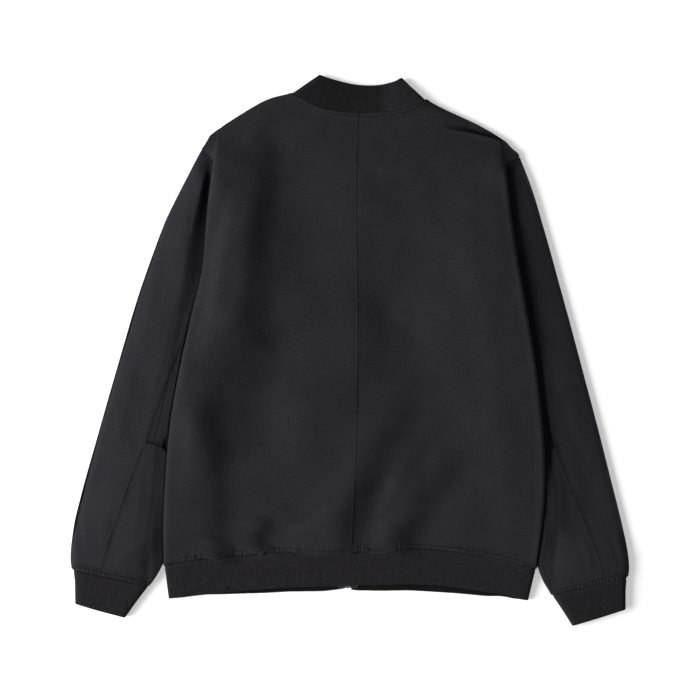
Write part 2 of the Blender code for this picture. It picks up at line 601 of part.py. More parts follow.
def cuff(shape, material):
    """The rib cuff, a flattened ring from the wrist seam to its edge."""
    grid = []
    for ring in shape.side.cuff:
        outer = np.array([ring.outer, ring.outer_y], float)
        inner = np.array([ring.inner, ring.inner_y], float)
        radius = (ring.height - RIB_FLOOR) / 2
        run = (outer - inner) / np.linalg.norm(outer - inner)
        row = []
        for centre, start, side in ((outer - run * radius, 90, 1), (inner + run * radius, 270, -1)):
            for step in range(5):
                turn = radians(start - 45 * step)
                place = centre + run * radius * cos(turn)
                row.append((shape.x(place[0]), place[1], RIB_FLOOR + radius + radius * sin(turn)))
            far = inner + run * radius if side > 0 else outer - run * radius
            for share in (0.2, 0.4, 0.6, 0.8):
                place = between(centre, far, share)
                row.append((shape.x(place[0]), place[1], row[-1][2]))
        grid.append(row)
    return wall("cuff_" + shape.side.name, grid, RIB, material, ring=True)


# ---------------------------------------------------------------- sleeves

def sleeve_line(shape, seam_q, inner_q):
    """Plan points of a sleeve section: its outer edge, its seam and its inner fold."""
    read = shape.station
    outer = np.array([read["outer"](seam_q), read["outer_y"](seam_q)])
    seam = np.array([read["seam"](seam_q), read["seam_y"](seam_q)])
    inner = np.array([read["inner"](inner_q), read["inner_y"](inner_q)])
    return outer, seam, inner


def sleeve_height(shape, q, place):
    """Back of the sleeve above the surface, away from its edges: low under the body, full beside it."""
    away = ease((place[0] - shape.fold(place[1]) - TUCK_START) / TUCK_RISE)
    return between(SLEEVE_TUCK, shape.station["height"](q), away)


def front_reach(q):
    """From the inner fold to the seam on the front side of the sleeve."""
    return between(UNDER_REACH, FRONT_SEAM_REACH, min(max(q - UNDERARM, 0.0) / 2, 1.0))


def front_end(shape, q):
    """Where the top sleeve ends on the front side: at the armhole, then at the under-sleeve's seam."""
    outer, _, inner = sleeve_line(shape, q, q)
    if q < UNDERARM:
        y = inner[1]
        return np.array([shape.armhole(y) + SEAM + UNDER_REACH * ease(q - UNDERARM + 1), y])
    run = (outer - inner) / np.linalg.norm(outer - inner)
    return inner + run * front_reach(q)


def back_shares(shape, start, end):
    """Shares of the way between two places for the columns of a sleeve's back, one where it rises."""
    run = end[0] - start[0]
    rise_at = 0.5
    for _ in range(6):
        y = between(start[1], end[1], min(max(rise_at, 0.0), 1.0))
        rise_at = (shape.fold(y) + TUCK_START - start[0]) / run
    if 0.05 < rise_at < 0.97:
        return [0.0, rise_at] + list(rise_at + (1 - rise_at) * np.array([0.2, 0.45, 0.7, 1.0]))
    return list(np.linspace(0, 1, 6))


def top_sleeve(shape, material):
    """The outer part of the sleeve: its back from the armhole or seam to the outer edge, and its front."""
    grid = []
    for q in SLEEVE_ROWS:
        outer, seam, inner = sleeve_line(shape, q, q)
        out_run = (outer - seam) / np.linalg.norm(outer - seam)
        start = seam + out_run * (SEAM / 2 if q > GUSSET_TOP else 0)
        turn_at = outer - out_run * SLEEVE_EDGE
        row = []
        for share in back_shares(shape, start, turn_at):
            place = between(start, turn_at, share)
            row.append((place, sleeve_height(shape, q, place)))
        for turn in (30, 60, 90):
            place = outer - out_run * SLEEVE_EDGE * (1 - sin(radians(turn)))
            height = between(OUTLINE, sleeve_height(shape, q, place), cos(radians(turn)))
            row.append((place, height))
        end = front_end(shape, q)
        back_run = (end - outer) / np.linalg.norm(end - outer)
        for turn in (50, 20, 0):
            place = outer + back_run * FRONT_TURN * (1 - sin(radians(turn)))
            row.append((place, between(OUTLINE, FLOOR, cos(radians(turn)))))
        for share in (0.33, 0.67, 1.0):
            row.append((between(outer + back_run * FRONT_TURN, end, share), FLOOR))
        grid.append([(shape.x(p[0]), p[1], z) for p, z in row])
    return wall("sleeve_top_" + shape.side.name, grid, CLOTH, material)


def under_sleeve(shape, name, rows, material):
    """Part of the under-sleeve, from the seam round the inner fold to the front seam of the sleeve."""
    grid = []
    for seam_q, inner_q, floor_q, dip in rows:
        outer, seam, inner = sleeve_line(shape, seam_q, inner_q)
        floor_outer, _, floor_inner = sleeve_line(shape, floor_q, floor_q)
        run = (outer - inner) / np.linalg.norm(outer - inner)
        floor_run = (floor_outer - floor_inner) / np.linalg.norm(floor_outer - floor_inner)
        top_run = (outer - seam) / np.linalg.norm(outer - seam)
        start = seam - top_run * SEAM / 2
        fold = inner + run * dip * ELBOW_INSET
        high = sleeve_height(shape, seam_q, fold) - dip * ELBOW_STEP
        radius = (high - FLOOR) / 2
        row = []
        shares = sorted(1 - share for share in back_shares(shape, fold + run * radius, start))
        for share in shares:
            place = between(start, fold + run * radius, share)
            height = sleeve_height(shape, between(seam_q, inner_q, share), place) - dip * ELBOW_STEP
            row.append((place, min(height, between(height, high, share ** 4))))
        floor_fold = between(floor_inner, floor_inner + floor_run * ELBOW_INSET, dip)
        for turn in (45, 90, 135, 180):
            share = min(turn / 120, 1.0)
            centre = between(fold + run * radius, floor_fold + floor_run * radius, share)
            place = centre - run * radius * sin(radians(turn))
            row.append((place, FLOOR + radius + radius * cos(radians(turn))))
        last = floor_inner + floor_run * max(front_reach(floor_q) - 2 * SEAM, radius + 1.5)
        row.append((last, FLOOR))
        grid.append([(shape.x(p[0]), p[1], z) for p, z in row])
    return wall(name, grid, CLOTH, material)


def sleeve(shape, material):
    side = shape.side.name
    top_sleeve(shape, material)
    under_sleeve(shape, "sleeve_under_upper_" + side, UPPER_ROWS, material)
    lower = [UnderRow(q, q, q, 0.0) for q in SLEEVE_ROWS if q >= ELBOW]
    under_sleeve(shape, "sleeve_under_lower_" + side, lower, material)


# ---------------------------------------------------------------- zip

def bar(mesh, low, high):
    """A box between two corners, in millimetres."""
    low, high = Vector(low), Vector(high)
    made = bmesh.ops.create_cube(mesh, size=1.0)["verts"]
    bmesh.ops.scale(mesh, vec=(high - low) * MM, verts=made)
    bmesh.ops.translate(mesh, vec=(high + low) / 2 * MM, verts=made)
    return made


def strip(name, low_x, high_x, low_y, high_y, low_z, high_z, material):
    """A straight bar that follows the front closure, between two distances from it."""
    mesh = bmesh.new()
    made = bar(mesh, (0, low_y, low_z), (1, high_y, high_z))
    for vert in made:
        side = high_x if vert.co.x > MM / 2 else low_x
        vert.co.x = (front_seam(vert.co.y / MM) + side) * MM
    return finish(name, mesh, material)


def join_bars(name, boxes, material, place):
    """One solid united from boxes given round its own origin."""
    body = None
    for number, (low, high) in enumerate(boxes):
        mesh = bmesh.new()
        bar(mesh, low, high)
        piece = finish(name if number == 0 else f"{name}_cutter_{number}", mesh, material)
        if number == 0:
            body = piece
            continue
        piece.hide_render = True
        piece.display_type = "WIRE"
        piece.location = Vector(place) * MM
        union = body.modifiers.new(f"union_{number}", "BOOLEAN")
        union.operation = "UNION"
        union.object = piece
    body.location = Vector(place) * MM
    return body


def zipper(metal, tape):
    """Zip along the front: tapes on the front edges, teeth between them, end box, slider and pull tab."""
    half_chain = CHAIN_WIDTH / 2
    tape_low = PLACKET_TOP + GAP
    for side, name in ((-1, "left"), (1, "right")):
        edges = sorted((side * (half_chain + GAP), side * TAPE_REACH))
        strip("zip_tape_" + name, *edges, ZIP_END, ZIP_TOP, tape_low, tape_low + TAPE, tape)
    middle = tape_low + TAPE / 2
    low, high = middle - CHAIN_THICK / 2, middle + CHAIN_THICK / 2
    chain_start = ZIP_END + BOX_LENGTH + GAP
    strip("zip_chain", -half_chain, half_chain, chain_start, SLIDER_Y - 0.5, low, high, metal)
    strip("zip_box", -half_chain, half_chain, ZIP_END, ZIP_END + BOX_LENGTH, low - 0.6, high + 0.6, metal)
    place = (float(front_seam(SLIDER_Y)), SLIDER_Y, 0.0)
    wide, inner, outer = SLIDER_WIDTH / 2, low - GAP, high + GAP
    reach = SLIDER_LENGTH / 2
    foot, rail = HINGE_Y - BRIDGE / 2, HINGE_Z - TAB_THICK / 2 - GAP
    boxes = [((-wide, -reach, outer), (wide, reach, outer + PLATE)),
             ((-wide, -reach, inner - PLATE), (wide, reach, inner)),
             ((-0.8, 1.0, inner - 0.2), (0.8, reach, outer + 0.2))]
    for side in (-1, 1):
        edge = sorted((side * (wide - 1.0), side * wide))
        boxes.append(((edge[0], -reach, tape_low + TAPE + GAP), (edge[1], reach, outer + 0.1)))
        boxes.append(((edge[0], -reach, inner - 0.1), (edge[1], reach, tape_low - GAP)))
        end = sorted((HINGE_Y + side * BRIDGE / 2, HINGE_Y + side * (BRIDGE / 2 + PLATE)))
        boxes.append(((-0.6, end[0], rail - 0.5), (0.6, end[1], inner - PLATE + 0.1)))
    boxes.append(((-0.6, foot - 0.1, rail - PLATE), (0.6, foot + BRIDGE + 0.1, rail)))
    join_bars("zip_slider", boxes, metal, place)
    pull_tab(place, metal)


def pull_tab(place, metal):
    """The tab that hangs in the slider's bridge, tilted until its end touches the surface."""
    half, thick = TAB_WIDTH / 2, TAB_THICK / 2
    boxes = [((-half, -thick, -thick), (half, thick, thick)),
             ((-half, -TAB_LENGTH, -thick), (half, -EYE_LENGTH, thick))]
    for side in (-1, 1):
        edge = sorted((side * EYE_HALF, side * half))
        boxes.append(((edge[0], -EYE_LENGTH - 0.1, -thick), (edge[1], 0, thick)))
    pivot = (place[0], place[1] + HINGE_Y, HINGE_Z)
    tab = join_bars("pull_tab", boxes, metal, pivot)
    tilt = Matrix.Rotation(TAB_TILT, 4, "X")
    for thing in bpy.data.objects:
        if thing.name.startswith("pull_tab"):
            thing.rotation_euler = tilt.to_euler()
    return tab


# ---------------------------------------------------------------- the whole

def main():
    for thing in list(bpy.data.objects):
        bpy.data.objects.remove(thing, do_unlink=True)
    shell = paint("shell_cloth", (0.0245, 0.0245, 0.0275), 0.82)
    knit = paint("rib_knit", (0.0155, 0.0145, 0.016), 0.9)
    collar_halves, hem_halves = [], []
    for side in (LEFT, RIGHT):
        shape = Shape(side)
        back, front = back_grid(shape), front_grid(shape)
        wall("back_" + side.name, back, CLOTH, shell)
        wall("front_" + side.name, front, CLOTH, shell)
        sleeve(shape, shell)
        cuff(shape, knit)
        collar_halves.append(collar_grid(shape))
        hem_halves.append(hem_grid(shape, back[0], front[0]))
    band("collar", collar_halves, knit)
    band("hem_rib", hem_halves, knit)
    metal = paint("zip_metal", (0.05, 0.05, 0.052), 0.35, 1.0)
    zipper(metal, paint("zip_tape", (0.012, 0.012, 0.013), 0.85))


main()
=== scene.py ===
# %% [markdown]
# # A bomber jacket that lies on its front
# The jacket is loaded first as plain solids: its panels, its rib bands and its zip, all at their real size. They
# stay fixed. Each soft one is then covered by a finer shell of the same form, with its creases, seams and
# puckers, because cloth shows its nature in the small hills and valleys that a plain solid hasn't got.

# %% Load the solids and keep their box
from collections import namedtuple
from math import radians

import bmesh
import bpy
import numpy as np
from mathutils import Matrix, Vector
from mathutils.bvhtree import BVHTree


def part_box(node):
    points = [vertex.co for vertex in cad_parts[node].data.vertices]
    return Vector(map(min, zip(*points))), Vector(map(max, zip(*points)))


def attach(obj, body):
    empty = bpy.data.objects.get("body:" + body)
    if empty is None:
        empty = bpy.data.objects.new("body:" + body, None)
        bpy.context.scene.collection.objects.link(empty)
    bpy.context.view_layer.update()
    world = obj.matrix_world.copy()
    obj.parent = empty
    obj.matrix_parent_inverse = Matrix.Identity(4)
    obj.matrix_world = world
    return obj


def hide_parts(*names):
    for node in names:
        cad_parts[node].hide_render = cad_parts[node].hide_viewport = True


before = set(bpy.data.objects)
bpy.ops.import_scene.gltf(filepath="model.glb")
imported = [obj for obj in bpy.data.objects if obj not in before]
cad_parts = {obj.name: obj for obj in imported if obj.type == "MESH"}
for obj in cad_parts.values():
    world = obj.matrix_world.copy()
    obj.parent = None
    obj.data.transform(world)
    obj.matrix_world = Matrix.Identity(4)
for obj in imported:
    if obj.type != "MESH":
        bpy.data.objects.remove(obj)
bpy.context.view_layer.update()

MM = 0.001                                  # one millimetre in metres

# %% [markdown]
# ## Two helpers: an object and a node
# The sky, the table, the finishes and the repeated pieces are all trees of nodes, and they are built line by line
# in the script. One helper puts an object in the scene. The other places a node, sets its settings and fills each
# of its inputs, either with a value or with a link from an earlier node.

# %% Put an object in the scene, place a node in a tree
def link(name, data):
    thing = bpy.data.objects.new(name, data)
    bpy.context.scene.collection.objects.link(thing)
    return thing


def place(tree, kind, inputs=None, **settings):
    made = tree.nodes.new(kind)
    for key, value in settings.items():
        setattr(made, key, value)
    for key, value in (inputs or {}).items():
        if isinstance(value, bpy.types.NodeSocket):
            tree.links.new(value, made.inputs[key])
        else:
            made.inputs[key].default_value = value
    return made

# %% [markdown]
# ## Camera, light and floor
# A garment for a catalogue lies on a white table under a camera that looks straight down. One large soft lamp
# stands low on the left, so that each fold has a lit side and a shaded side, and an even sky fills the shadows.
# A long lens hardly bends the shape towards the edges of the frame.

# %% Camera
FRAME_WIDTH = 0.98                          # width of the table that the frame takes in
CAMERA_HEIGHT = 3.0
OUTLINE_HEIGHT = 0.006                      # height at which the jacket's outline lies

camera = link("camera", bpy.data.cameras.new("camera"))
camera.data.sensor_width = 36.0
camera.data.lens = camera.data.sensor_width * (CAMERA_HEIGHT - OUTLINE_HEIGHT) / FRAME_WIDTH
camera.location = (0, 0, CAMERA_HEIGHT)
bpy.context.scene.camera = camera
bpy.context.scene.view_settings.view_transform = "Standard"
print("lens:", round(camera.data.lens, 1), "mm")

# %% Lamps and sky
Lamp = namedtuple("Lamp", "name place size power")
LAMPS = [Lamp("key", (-5.2, -0.6, 2.9), 4.0, 685), Lamp("fill", (2.5, 2.0, 5.5), 3.0, 14)]
SKY = 0.105

for lamp in LAMPS:
    light = bpy.data.lights.new(lamp.name, "AREA")
    light.energy, light.size = lamp.power, lamp.size
    holder = link(lamp.name, light)
    holder.location = lamp.place
    holder.rotation_euler = (-holder.location).to_track_quat("-Z", "Y").to_euler()

world = bpy.data.worlds.new("sky")
world.use_nodes = True
bpy.context.scene.world = world
sky = world.node_tree
rays = place(sky, "ShaderNodeLightPath").outputs
seen = place(sky, "ShaderNodeMath", {0: rays["Is Camera Ray"], 1: rays["Is Glossy Ray"]}, operation="MAXIMUM")
strength = place(sky, "ShaderNodeMapRange", {"Value": seen.outputs[0], "To Min": SKY, "To Max": 1.0})
sky.nodes["Background"].inputs["Color"].default_value = (1, 1, 1, 1)
sky.links.new(strength.outputs["Result"], sky.nodes["Background"].inputs["Strength"])
print("lamps:", len(LAMPS), "and a sky of", SKY)

# %% Floor
FLOOR_HALF = 12.0
FLOOR_GLOW = 0.45                           # what the camera sees on top of the lit floor, so that it is white
FLOOR_SPREAD = (0.75, 2.2)                  # metres out, between which the glow grows to 1

mesh = bpy.data.meshes.new("floor")
corners = [(x * FLOOR_HALF, y * FLOOR_HALF, 0) for x, y in ((-1, -1), (1, -1), (1, 1), (-1, 1))]
mesh.from_pydata(corners, [], [(0, 1, 2, 3)])
floor = link("floor", mesh)
white = bpy.data.materials.new("table")
white.use_nodes = True
tree = white.node_tree
rays = place(tree, "ShaderNodeLightPath").outputs
where = place(tree, "ShaderNodeTexCoord").outputs["Object"]
far = place(tree, "ShaderNodeVectorMath", {0: where}, operation="LENGTH").outputs["Value"]
spread = place(tree, "ShaderNodeMapRange", {"Value": far, "From Min": FLOOR_SPREAD[0], "From Max": FLOOR_SPREAD[1],
                                            "To Min": FLOOR_GLOW, "To Max": 1.0}).outputs["Result"]
glow = place(tree, "ShaderNodeMath", {0: rays["Is Camera Ray"], 1: spread}, operation="MULTIPLY")
shader = tree.nodes["Principled BSDF"]
for name, value in (("Base Color", (0.84, 0.84, 0.84, 1)), ("Roughness", 0.9), ("Specular IOR Level", 0.1),
                    ("Emission Color", (1, 1, 1, 1))):
    shader.inputs[name].default_value = value
tree.links.new(glow.outputs[0], shader.inputs["Emission Strength"])
mesh.materials.append(white)
print("floor:", 2 * FLOOR_HALF, "m wide")

# %% [markdown]
# ## From a plain solid to a fine shell
# A solid of the jacket is a thin wall of large flat faces. Its copy is welded, its triangles are joined to quads,
# and a Subdivision Surface makes them small and smooth. The rims of the wall are creased first, so that the
# corners of a panel stay where its seams meet. A cloth simulation could give folds too, but here each fold has
# its known place, so heights from tables are added to the fine mesh.

# %% Copy and refine
WELD = 1e-6
RIM_ANGLE = radians(55)


def welded(node):
    """A node's wall as one connected mesh of quads."""
    work = bmesh.new()
    work.from_mesh(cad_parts[node].data)
    bmesh.ops.remove_doubles(work, verts=work.verts, dist=WELD)
    bmesh.ops.join_triangles(work, faces=work.faces, angle_face_threshold=radians(40),
                             angle_shape_threshold=radians(60), topology_influence=1.0)
    return work


def sharp(edge, angle):
    return len(edge.link_faces) == 2 and edge.calc_face_angle() > angle


def plain_mesh(thing):
    """The object's evaluated shape as its own mesh, with no modifiers left."""
    bpy.context.view_layer.update()
    evaluated = thing.evaluated_get(bpy.context.evaluated_depsgraph_get())
    mesh = bpy.data.meshes.new_from_object(evaluated)
    thing.modifiers.clear()
    thing.data = mesh
    return thing


def fine_shell(name, node, levels):
    work = welded(node)
    crease = work.edges.layers.float.new("crease_edge")
    for edge in [edge for edge in work.edges if sharp(edge, RIM_ANGLE)]:
        edge[crease] = 1.0
    mesh = bpy.data.meshes.new(name)
    work.to_mesh(mesh)
    work.free()
    shell = link(name, mesh)
    finer = shell.modifiers.new("finer", "SUBSURF")
    finer.levels = finer.render_levels = levels
    plain_mesh(shell)
    shell.data.materials.clear()
    print(name, len(shell.data.polygons), "faces")
    return shell


Piece = namedtuple("Piece", "name node levels")
SIDES = ("left", "right")
PANELS = [Piece(name + side, node + side, levels) for name, node, levels in (
    ("back_panel_", "back_", 3), ("front_panel_", "front_", 2), ("top_sleeve_", "sleeve_top_", 3),
    ("under_sleeve_upper_", "sleeve_under_upper_", 3), ("under_sleeve_lower_", "sleeve_under_lower_", 3),
    ("zip_tape_strip_", "zip_tape_", 4)) for side in SIDES]
BANDS = [Piece("collar_band", "collar", 2), Piece("hem_band", "hem_rib", 2),
         Piece("cuff_band_left", "cuff_left", 2), Piece("cuff_band_right", "cuff_right", 2)]
shells = {piece.name: fine_shell(*piece) for piece in PANELS + BANDS}

# %% [markdown]
# ## Creases, pressed in from tables
# Cloth that lies flat still keeps long soft troughs and ridges, where it hangs from a shoulder or is pulled in
# by a rib band. Each has a path on the table, a half width and a height, and it fades out at both ends. A noise
# texture would make them all alike, so the big ones are a table. The lift is a field over the table, so panels
# that meet at a seam are lifted alike and stay together.

# %% Paths, and the distance from them
def ease(t):
    t = np.clip(t, 0.0, 1.0)
    return t * t * (3 - 2 * t)


def curve_through(points, steps=8):
    """A smooth curve through a few places, as many short runs."""
    points = np.array(points, float)
    if len(points) < 3:
        return points
    ends = np.vstack([2 * points[0] - points[1], points, 2 * points[-1] - points[-2]])
    made = []
    for a, b, c, d in zip(ends[:-3], ends[1:-2], ends[2:-1], ends[3:]):
        for t in np.arange(steps) / steps:
            made.append(0.5 * (2 * b + (c - a) * t + (2 * a - 5 * b + 4 * c - d) * t ** 2
                               + (3 * b - a - 3 * c + d) * t ** 3))
    return np.array(made + [points[-1]])


def off_path(x, y, path):
    """Distance from a path, share of the way along it, and the side of it: 1 on its left."""
    distance = np.full(x.shape, 1e9)
    share = np.zeros(x.shape)
    side = np.ones(x.shape)
    for i, (p, q) in enumerate(zip(path[:-1], path[1:])):
        run = q - p
        t = np.clip(((x - p[0]) * run[0] + (y - p[1]) * run[1]) / np.dot(run, run), 0, 1)
        dx, dy = x - p[0] - t * run[0], y - p[1] - t * run[1]
        near = np.hypot(dx, dy)
        closer = near < distance
        distance[closer] = near[closer]
        share[closer] = (i + t[closer]) / (len(path) - 1)
        side[closer] = np.sign(run[0] * dy - run[1] * dx)[closer]
    return distance, share, side

# %% The lift of folds
Fold = namedtuple("Fold", "path width lift taper", defaults=(0.3,))


def lift_of(x, y, folds):
    """The sum of all folds at many places, in millimetres."""
    total = np.zeros(x.shape)
    for fold in folds:
        path = curve_through(fold.path)
        reach = 2.2 * fold.width
        near = ((x > path[:, 0].min() - reach) & (x < path[:, 0].max() + reach)
                & (y > path[:, 1].min() - reach) & (y < path[:, 1].max() + reach))
        distance, share, _ = off_path(x[near], y[near], path)
        fade = ease(share / fold.taper) * ease((1 - share) / fold.taper)
        total[near] += fold.lift * np.exp(-2 * (distance / fold.width) ** 2) * fade
    return total

# %% The lift of falls, and of fine ripples
Fall = namedtuple("Fall", "path width drop reach taper", defaults=(0.3,))


def beside_path(x, y, path):
    """Share of the way along a path's chord, and the distance to the right of the path."""
    run = path[-1] - path[0]
    length = np.hypot(*run)

    def seen_from_start(a, b):
        a, b = a - path[0, 0], b - path[0, 1]
        return (a * run[0] + b * run[1]) / length ** 2, (a * run[1] - b * run[0]) / length

    share, right = seen_from_start(x, y)
    return share, right - np.interp(share, *seen_from_start(*path.T))


def falls_of(x, y, falls):
    """Slopes: the cloth falls towards the right-hand side of each path and recovers slowly on both sides."""
    total = np.zeros(x.shape)
    for fall in falls:
        share, across = beside_path(x, y, curve_through(fall.path))
        fade = ease(share / fall.taper) * ease((1 - share) / fall.taper)
        slope = 0.5 * fall.drop * np.tanh(1.3 * across / fall.width)
        total -= slope * np.exp(-(across / fall.reach) ** 2) * fade
    return total


WAVES = 14


def ripple(x, y, lengths, height, seed):
    """Slight uneven waves in all directions."""
    rng = np.random.default_rng(seed)
    total = np.zeros(x.shape)
    for _ in range(WAVES):
        length, turn, start = rng.uniform(*lengths), rng.uniform(0, 2 * np.pi), rng.uniform(0, 2 * np.pi)
        total += np.sin((x * np.cos(turn) + y * np.sin(turn)) * 2 * np.pi / length + start)
    return total * height / WAVES ** 0.5


def ripples(x, y, kinds):
    return sum(ripple(x, y, *kind) for kind in kinds)

# %% Tables of folds and of numbers, and the points of a mesh
def read_folds(kind, text):
    """One fold a line: the places along its path, then its sizes. A line of words alone is a remark."""
    rows = [line.replace(",", " ").split("|") for line in text.splitlines() if "|" in line]
    return [kind(np.array(path.split(), float).reshape(-1, 2), *map(float, sizes.split()))
            for path, sizes in rows]


def numbers(text):
    """A table of numbers, with a semicolon between its rows."""
    return np.array([row.split() for row in text.split(";")], float)


def along(rows, where):
    """A table's columns after the first, read at many places. The first column is the place."""
    return [np.interp(where, rows[:, 0], column) for column in rows[:, 1:].T]


def places(thing):
    flat = np.empty(len(thing.data.vertices) * 3)
    thing.data.vertices.foreach_get("co", flat)
    return flat.reshape(-1, 3) / MM


def put(thing, points):
    thing.data.vertices.foreach_set("co", (points * MM).ravel())
    thing.data.update()

# %% Creases of the back
# Per line: places x y along the path, then half width, lift and taper.
BACK_FOLDS = read_folds(Fold, """
-165 300, -158 240, -160 180, -168 110, -175 40 | 34 1.5
-226 20, -228 -60, -222 -130, -226 -200, -236 -262 | 22 1.6
32 -262, 50 -217, 74 -168, 104 -119 | 14 1.2
-105 -262, -96 -245, -70 -228, -32 -217 | 7 0.5
98 190, 134 158, 168 123 | 14 0.6
150 285, 160 200, 174 110, 192 20, 206 -70, 212 -150, 206 -285 | 34 2.2 0.12
-187 291, -181 295, -173 299 | 4 -0.8
""")
# Each path runs upwards and the cloth falls to the right of it. Per line: places, then width, drop, reach and
# taper.
# These numbers weren't chosen by hand: a least-squares fit outside this script made them. Neighbours overlap and
# partly cancel, so a line is not always one crease of the cloth.
BACK_FALLS = read_folds(Fall, """
    the long hang below the left shoulder
-108 -18, -133 27, -126 72, -113 111, -131 153, -123 196, -113 238, -110 270, -121 299 | 32 8.9 96 0.2
-78 126, -108 180, -111 229, -89 281 | 28 6.1 59
-175 -49, -210 2, -165 63, -157 130, -147 202, -126 262 | 22 -9.4 66
    the left side, low
-162 -298, -179 -253, -181 -211, -186 -148, -193 -114, -191 -67, -174 -20 | 43 18.5 37 0.25
-145 -169, -164 -130, -149 -90, -167 -51 | 31 7.3 228
    the middle, low
-19 -238, -31 -205, -6 -148, -38 -91, -81 -50 | 53 -8.7 72
32 -270, 4 -237, -9 -197 | 47 13.9 71
    two long pulls that run up from the hem to the right
2 -303, -1 -260, 26 -215, 33 -173, 52 -128, 78 -88, 90 -45 | 54 17.4 34 0.22
60 -303, 73 -273, 87 -247, 104 -218, 124 -188, 147 -163, 169 -144 | 36 20.3 41 0.22
    beside the middle seam
42 -61, 34 -12, 34 28, 28 69, 24 111 | 42 12.6 51
49 -33, 76 2, 81 41 | 33 5.2 41
    below the neck, where it pulls towards the right shoulder
136 147, 86 170, 60 203, 33 225 | 31 3.3 44
112 244, 70 246, 42 251, 17 266 | 9 -3.1 17
99 207, 62 221, 22 233 | 12 -1.1 38
    small ones at the hem
-119 -292, -125 -261, -116 -249, -109 -229 | 17 9.3 59
-170 -303, -175 -281, -159 -266 | 23 11.4 44
    broad and shallow ones that keep the whole back uneven
152 -181, 173 -120, 146 -55, 181 4 | 32 -4.5 187
204 -280, 211 -201, 209 -120, 189 -42 | 54 -3.6 29
193 26, 221 121, 200 208, 159 259 | 71 7.3 25
102 -32, 131 58, 143 139, 143 209 | 61 -11.4 183
-221 -17, -199 60, -187 141, -165 219, -170 270 | 14 -12.9 81
-177 -239, -211 -149, -229 -60 | 32 -13.3 68
-40 -251, -80 -179, -96 -99, -42 -28 | 63 -13.1 77
-44 59, -24 150, -42 250 | 71 -8.2 75
-143 -12, -137 20, -132 60, -144 89 | 292 8.5 71
-100 251, -118 285, -134 314 | 40 10.0 33
86 -90, 83 -47, 101 -9, 105 30 | 18 1.4 21
124 -165, 150 -132, 188 -123, 199 -92 | 29 -2.0 19
22 90, 26 140, 18 190 | 33 3.0 26
-173 10, -170 -31, -148 -57, -142 -85 | 61 -10.8 55
-119 -69, -129 -24, -128 9, -142 39 | 61 19.4 86
-193 153, -170 189, -167 230, -175 263 | 23 11.1 30
""")

# %% The hem seam, its gathers and its free edge
# Short puckers that run up from the seam: place along the hem, lean, length, half width, lift.
HEM_PUCKERS = numbers("""
    -228 9 18 3 -0.9; -221 2 9 2.5 0.6; -160 -2 12 3 -0.7; -157 8 14 3 0.6; -121 1 11 2.6 -0.9; -117 3 9 2.5 0.7;
    -78 3 10 3 0.5; -70 4 12 3 -0.6; -10 6 12 3.2 -0.8; 15 -3 10 2.8 -0.9; 22 2 9 2.6 0.7; 64 6 9 3 -0.6;
    100 3 8 3 -0.5; 154 8 14 3.5 -0.7; 182 6 10 3 0.5; 214 4 12 3 -0.6""")
HEM_SEAM = numbers("""
    -262 -300; -230 -296; -189 -290; -130 -285; -70 -282; 16 -281.5; 98 -279; 140 -281; 168 -284; 220 -295;
    262 -304""")
hem_path = curve_through(HEM_SEAM)
# Where the gathers pull it, the seam wanders: place along the hem, shift up. The shells follow it softly, and
# the fine strip over the seam follows each small step.
HEM_WANDER = numbers("""
    -262 0; -230 1.5; -182 -1; -165 0.6; -142 -1; -112 1.4; -84 0.8; -48 -2.6; -12 -3.2; 18 -0.6; 44 -2.6; 74 2;
    110 1.6; 160 0.6; 210 1.4; 256 0""")
HEM_STEPS = numbers("""
    -259 -0.6; -243 -0.5; -236 1; -232 2; -205 2; -186 -2.2; -174 0.4; -165 1.4; -148 -0.2; -140 -2; -122 -1.8;
    -118 2.2; -84 1.2; -62 -2.3; -28 -4.4; 2 -2.7; 10 0.7; 23 0; 28 -3; 48 -4.6; 62 -1; 70 2.8; 87 2.1; 122 1.3;
    168 0.5; 210 1.8; 256 -0.8""")
wander_path = curve_through(HEM_WANDER)


def hem_y(x):
    return np.interp(x, *hem_path.T)


# How far up each layer's free edge stands: place along the hem, shift of the back, shift of the front.
HEM_EDGE = numbers("""
    -235 -1.2 -1.2; -215 0.2 0.6; -200 0.2 1.6; -176 0.3 0.8; -120 0.6 0.5; -87 0.6 1.3; -60 0.4 0.2; -38 0.5 -1.3;
    -12 0.8 -1.4; 4 1 -1.6; 22 0.8 0.2; 59 0.2 0.5; 81 0.5 0.6; 104 0.9 0.3; 126 2 0.7; 148 2 1.6; 171 2.6 2.4;
    193 3 2.4; 207 3.6 3.6; 218 3 3; 228 1 1; 245 -0.5 -0.5""")
WANDER_UP, WANDER_DOWN = 24, 16             # how far the gathers pull, up in the cloth and down in the band
EDGE_FROM, EDGE_OVER = 8, 40                # below the seam, where a free edge's shift begins, and over how much
PUCKER_TAPER = 0.45


def hem_wander(x, y):
    """How far the gathers pull the hem seam up or down, which dies out in the cloth and in the band."""
    off = y - hem_y(x)
    return np.interp(x, *wander_path.T) * np.exp(-(off / np.where(off > 0, WANDER_UP, WANDER_DOWN)) ** 2)


def hem_edge(x, y, layer):
    """The shift of one layer's free edge, which dies out towards the seam."""
    return along(HEM_EDGE, x)[layer] * ease((hem_y(x) - y - EDGE_FROM) / EDGE_OVER)


for x, lean, length, width, lift in HEM_PUCKERS:
    start = float(hem_y(x))
    path = [(x, start - 3), (x + lean / 2, start + length / 2), (x + lean, start + length)]
    BACK_FOLDS.append(Fold(path, width, lift, PUCKER_TAPER))
print("creases of the back:", len(BACK_FOLDS) + len(BACK_FALLS))

# %% The tuck at the right shoulder, where the cloth folds over itself in a step
TUCK = curve_through([(126, 312), (143, 308), (168, 304), (189, 299), (210, 294.5)])
TUCK_DEPTH, TUCK_STEP, TUCK_REACH = 9.5, 2.2, 12.0
TUCK_LIP, LIP_WIDTH = 0.2, 5.0              # the lip on the near side of the step, as a share of its depth


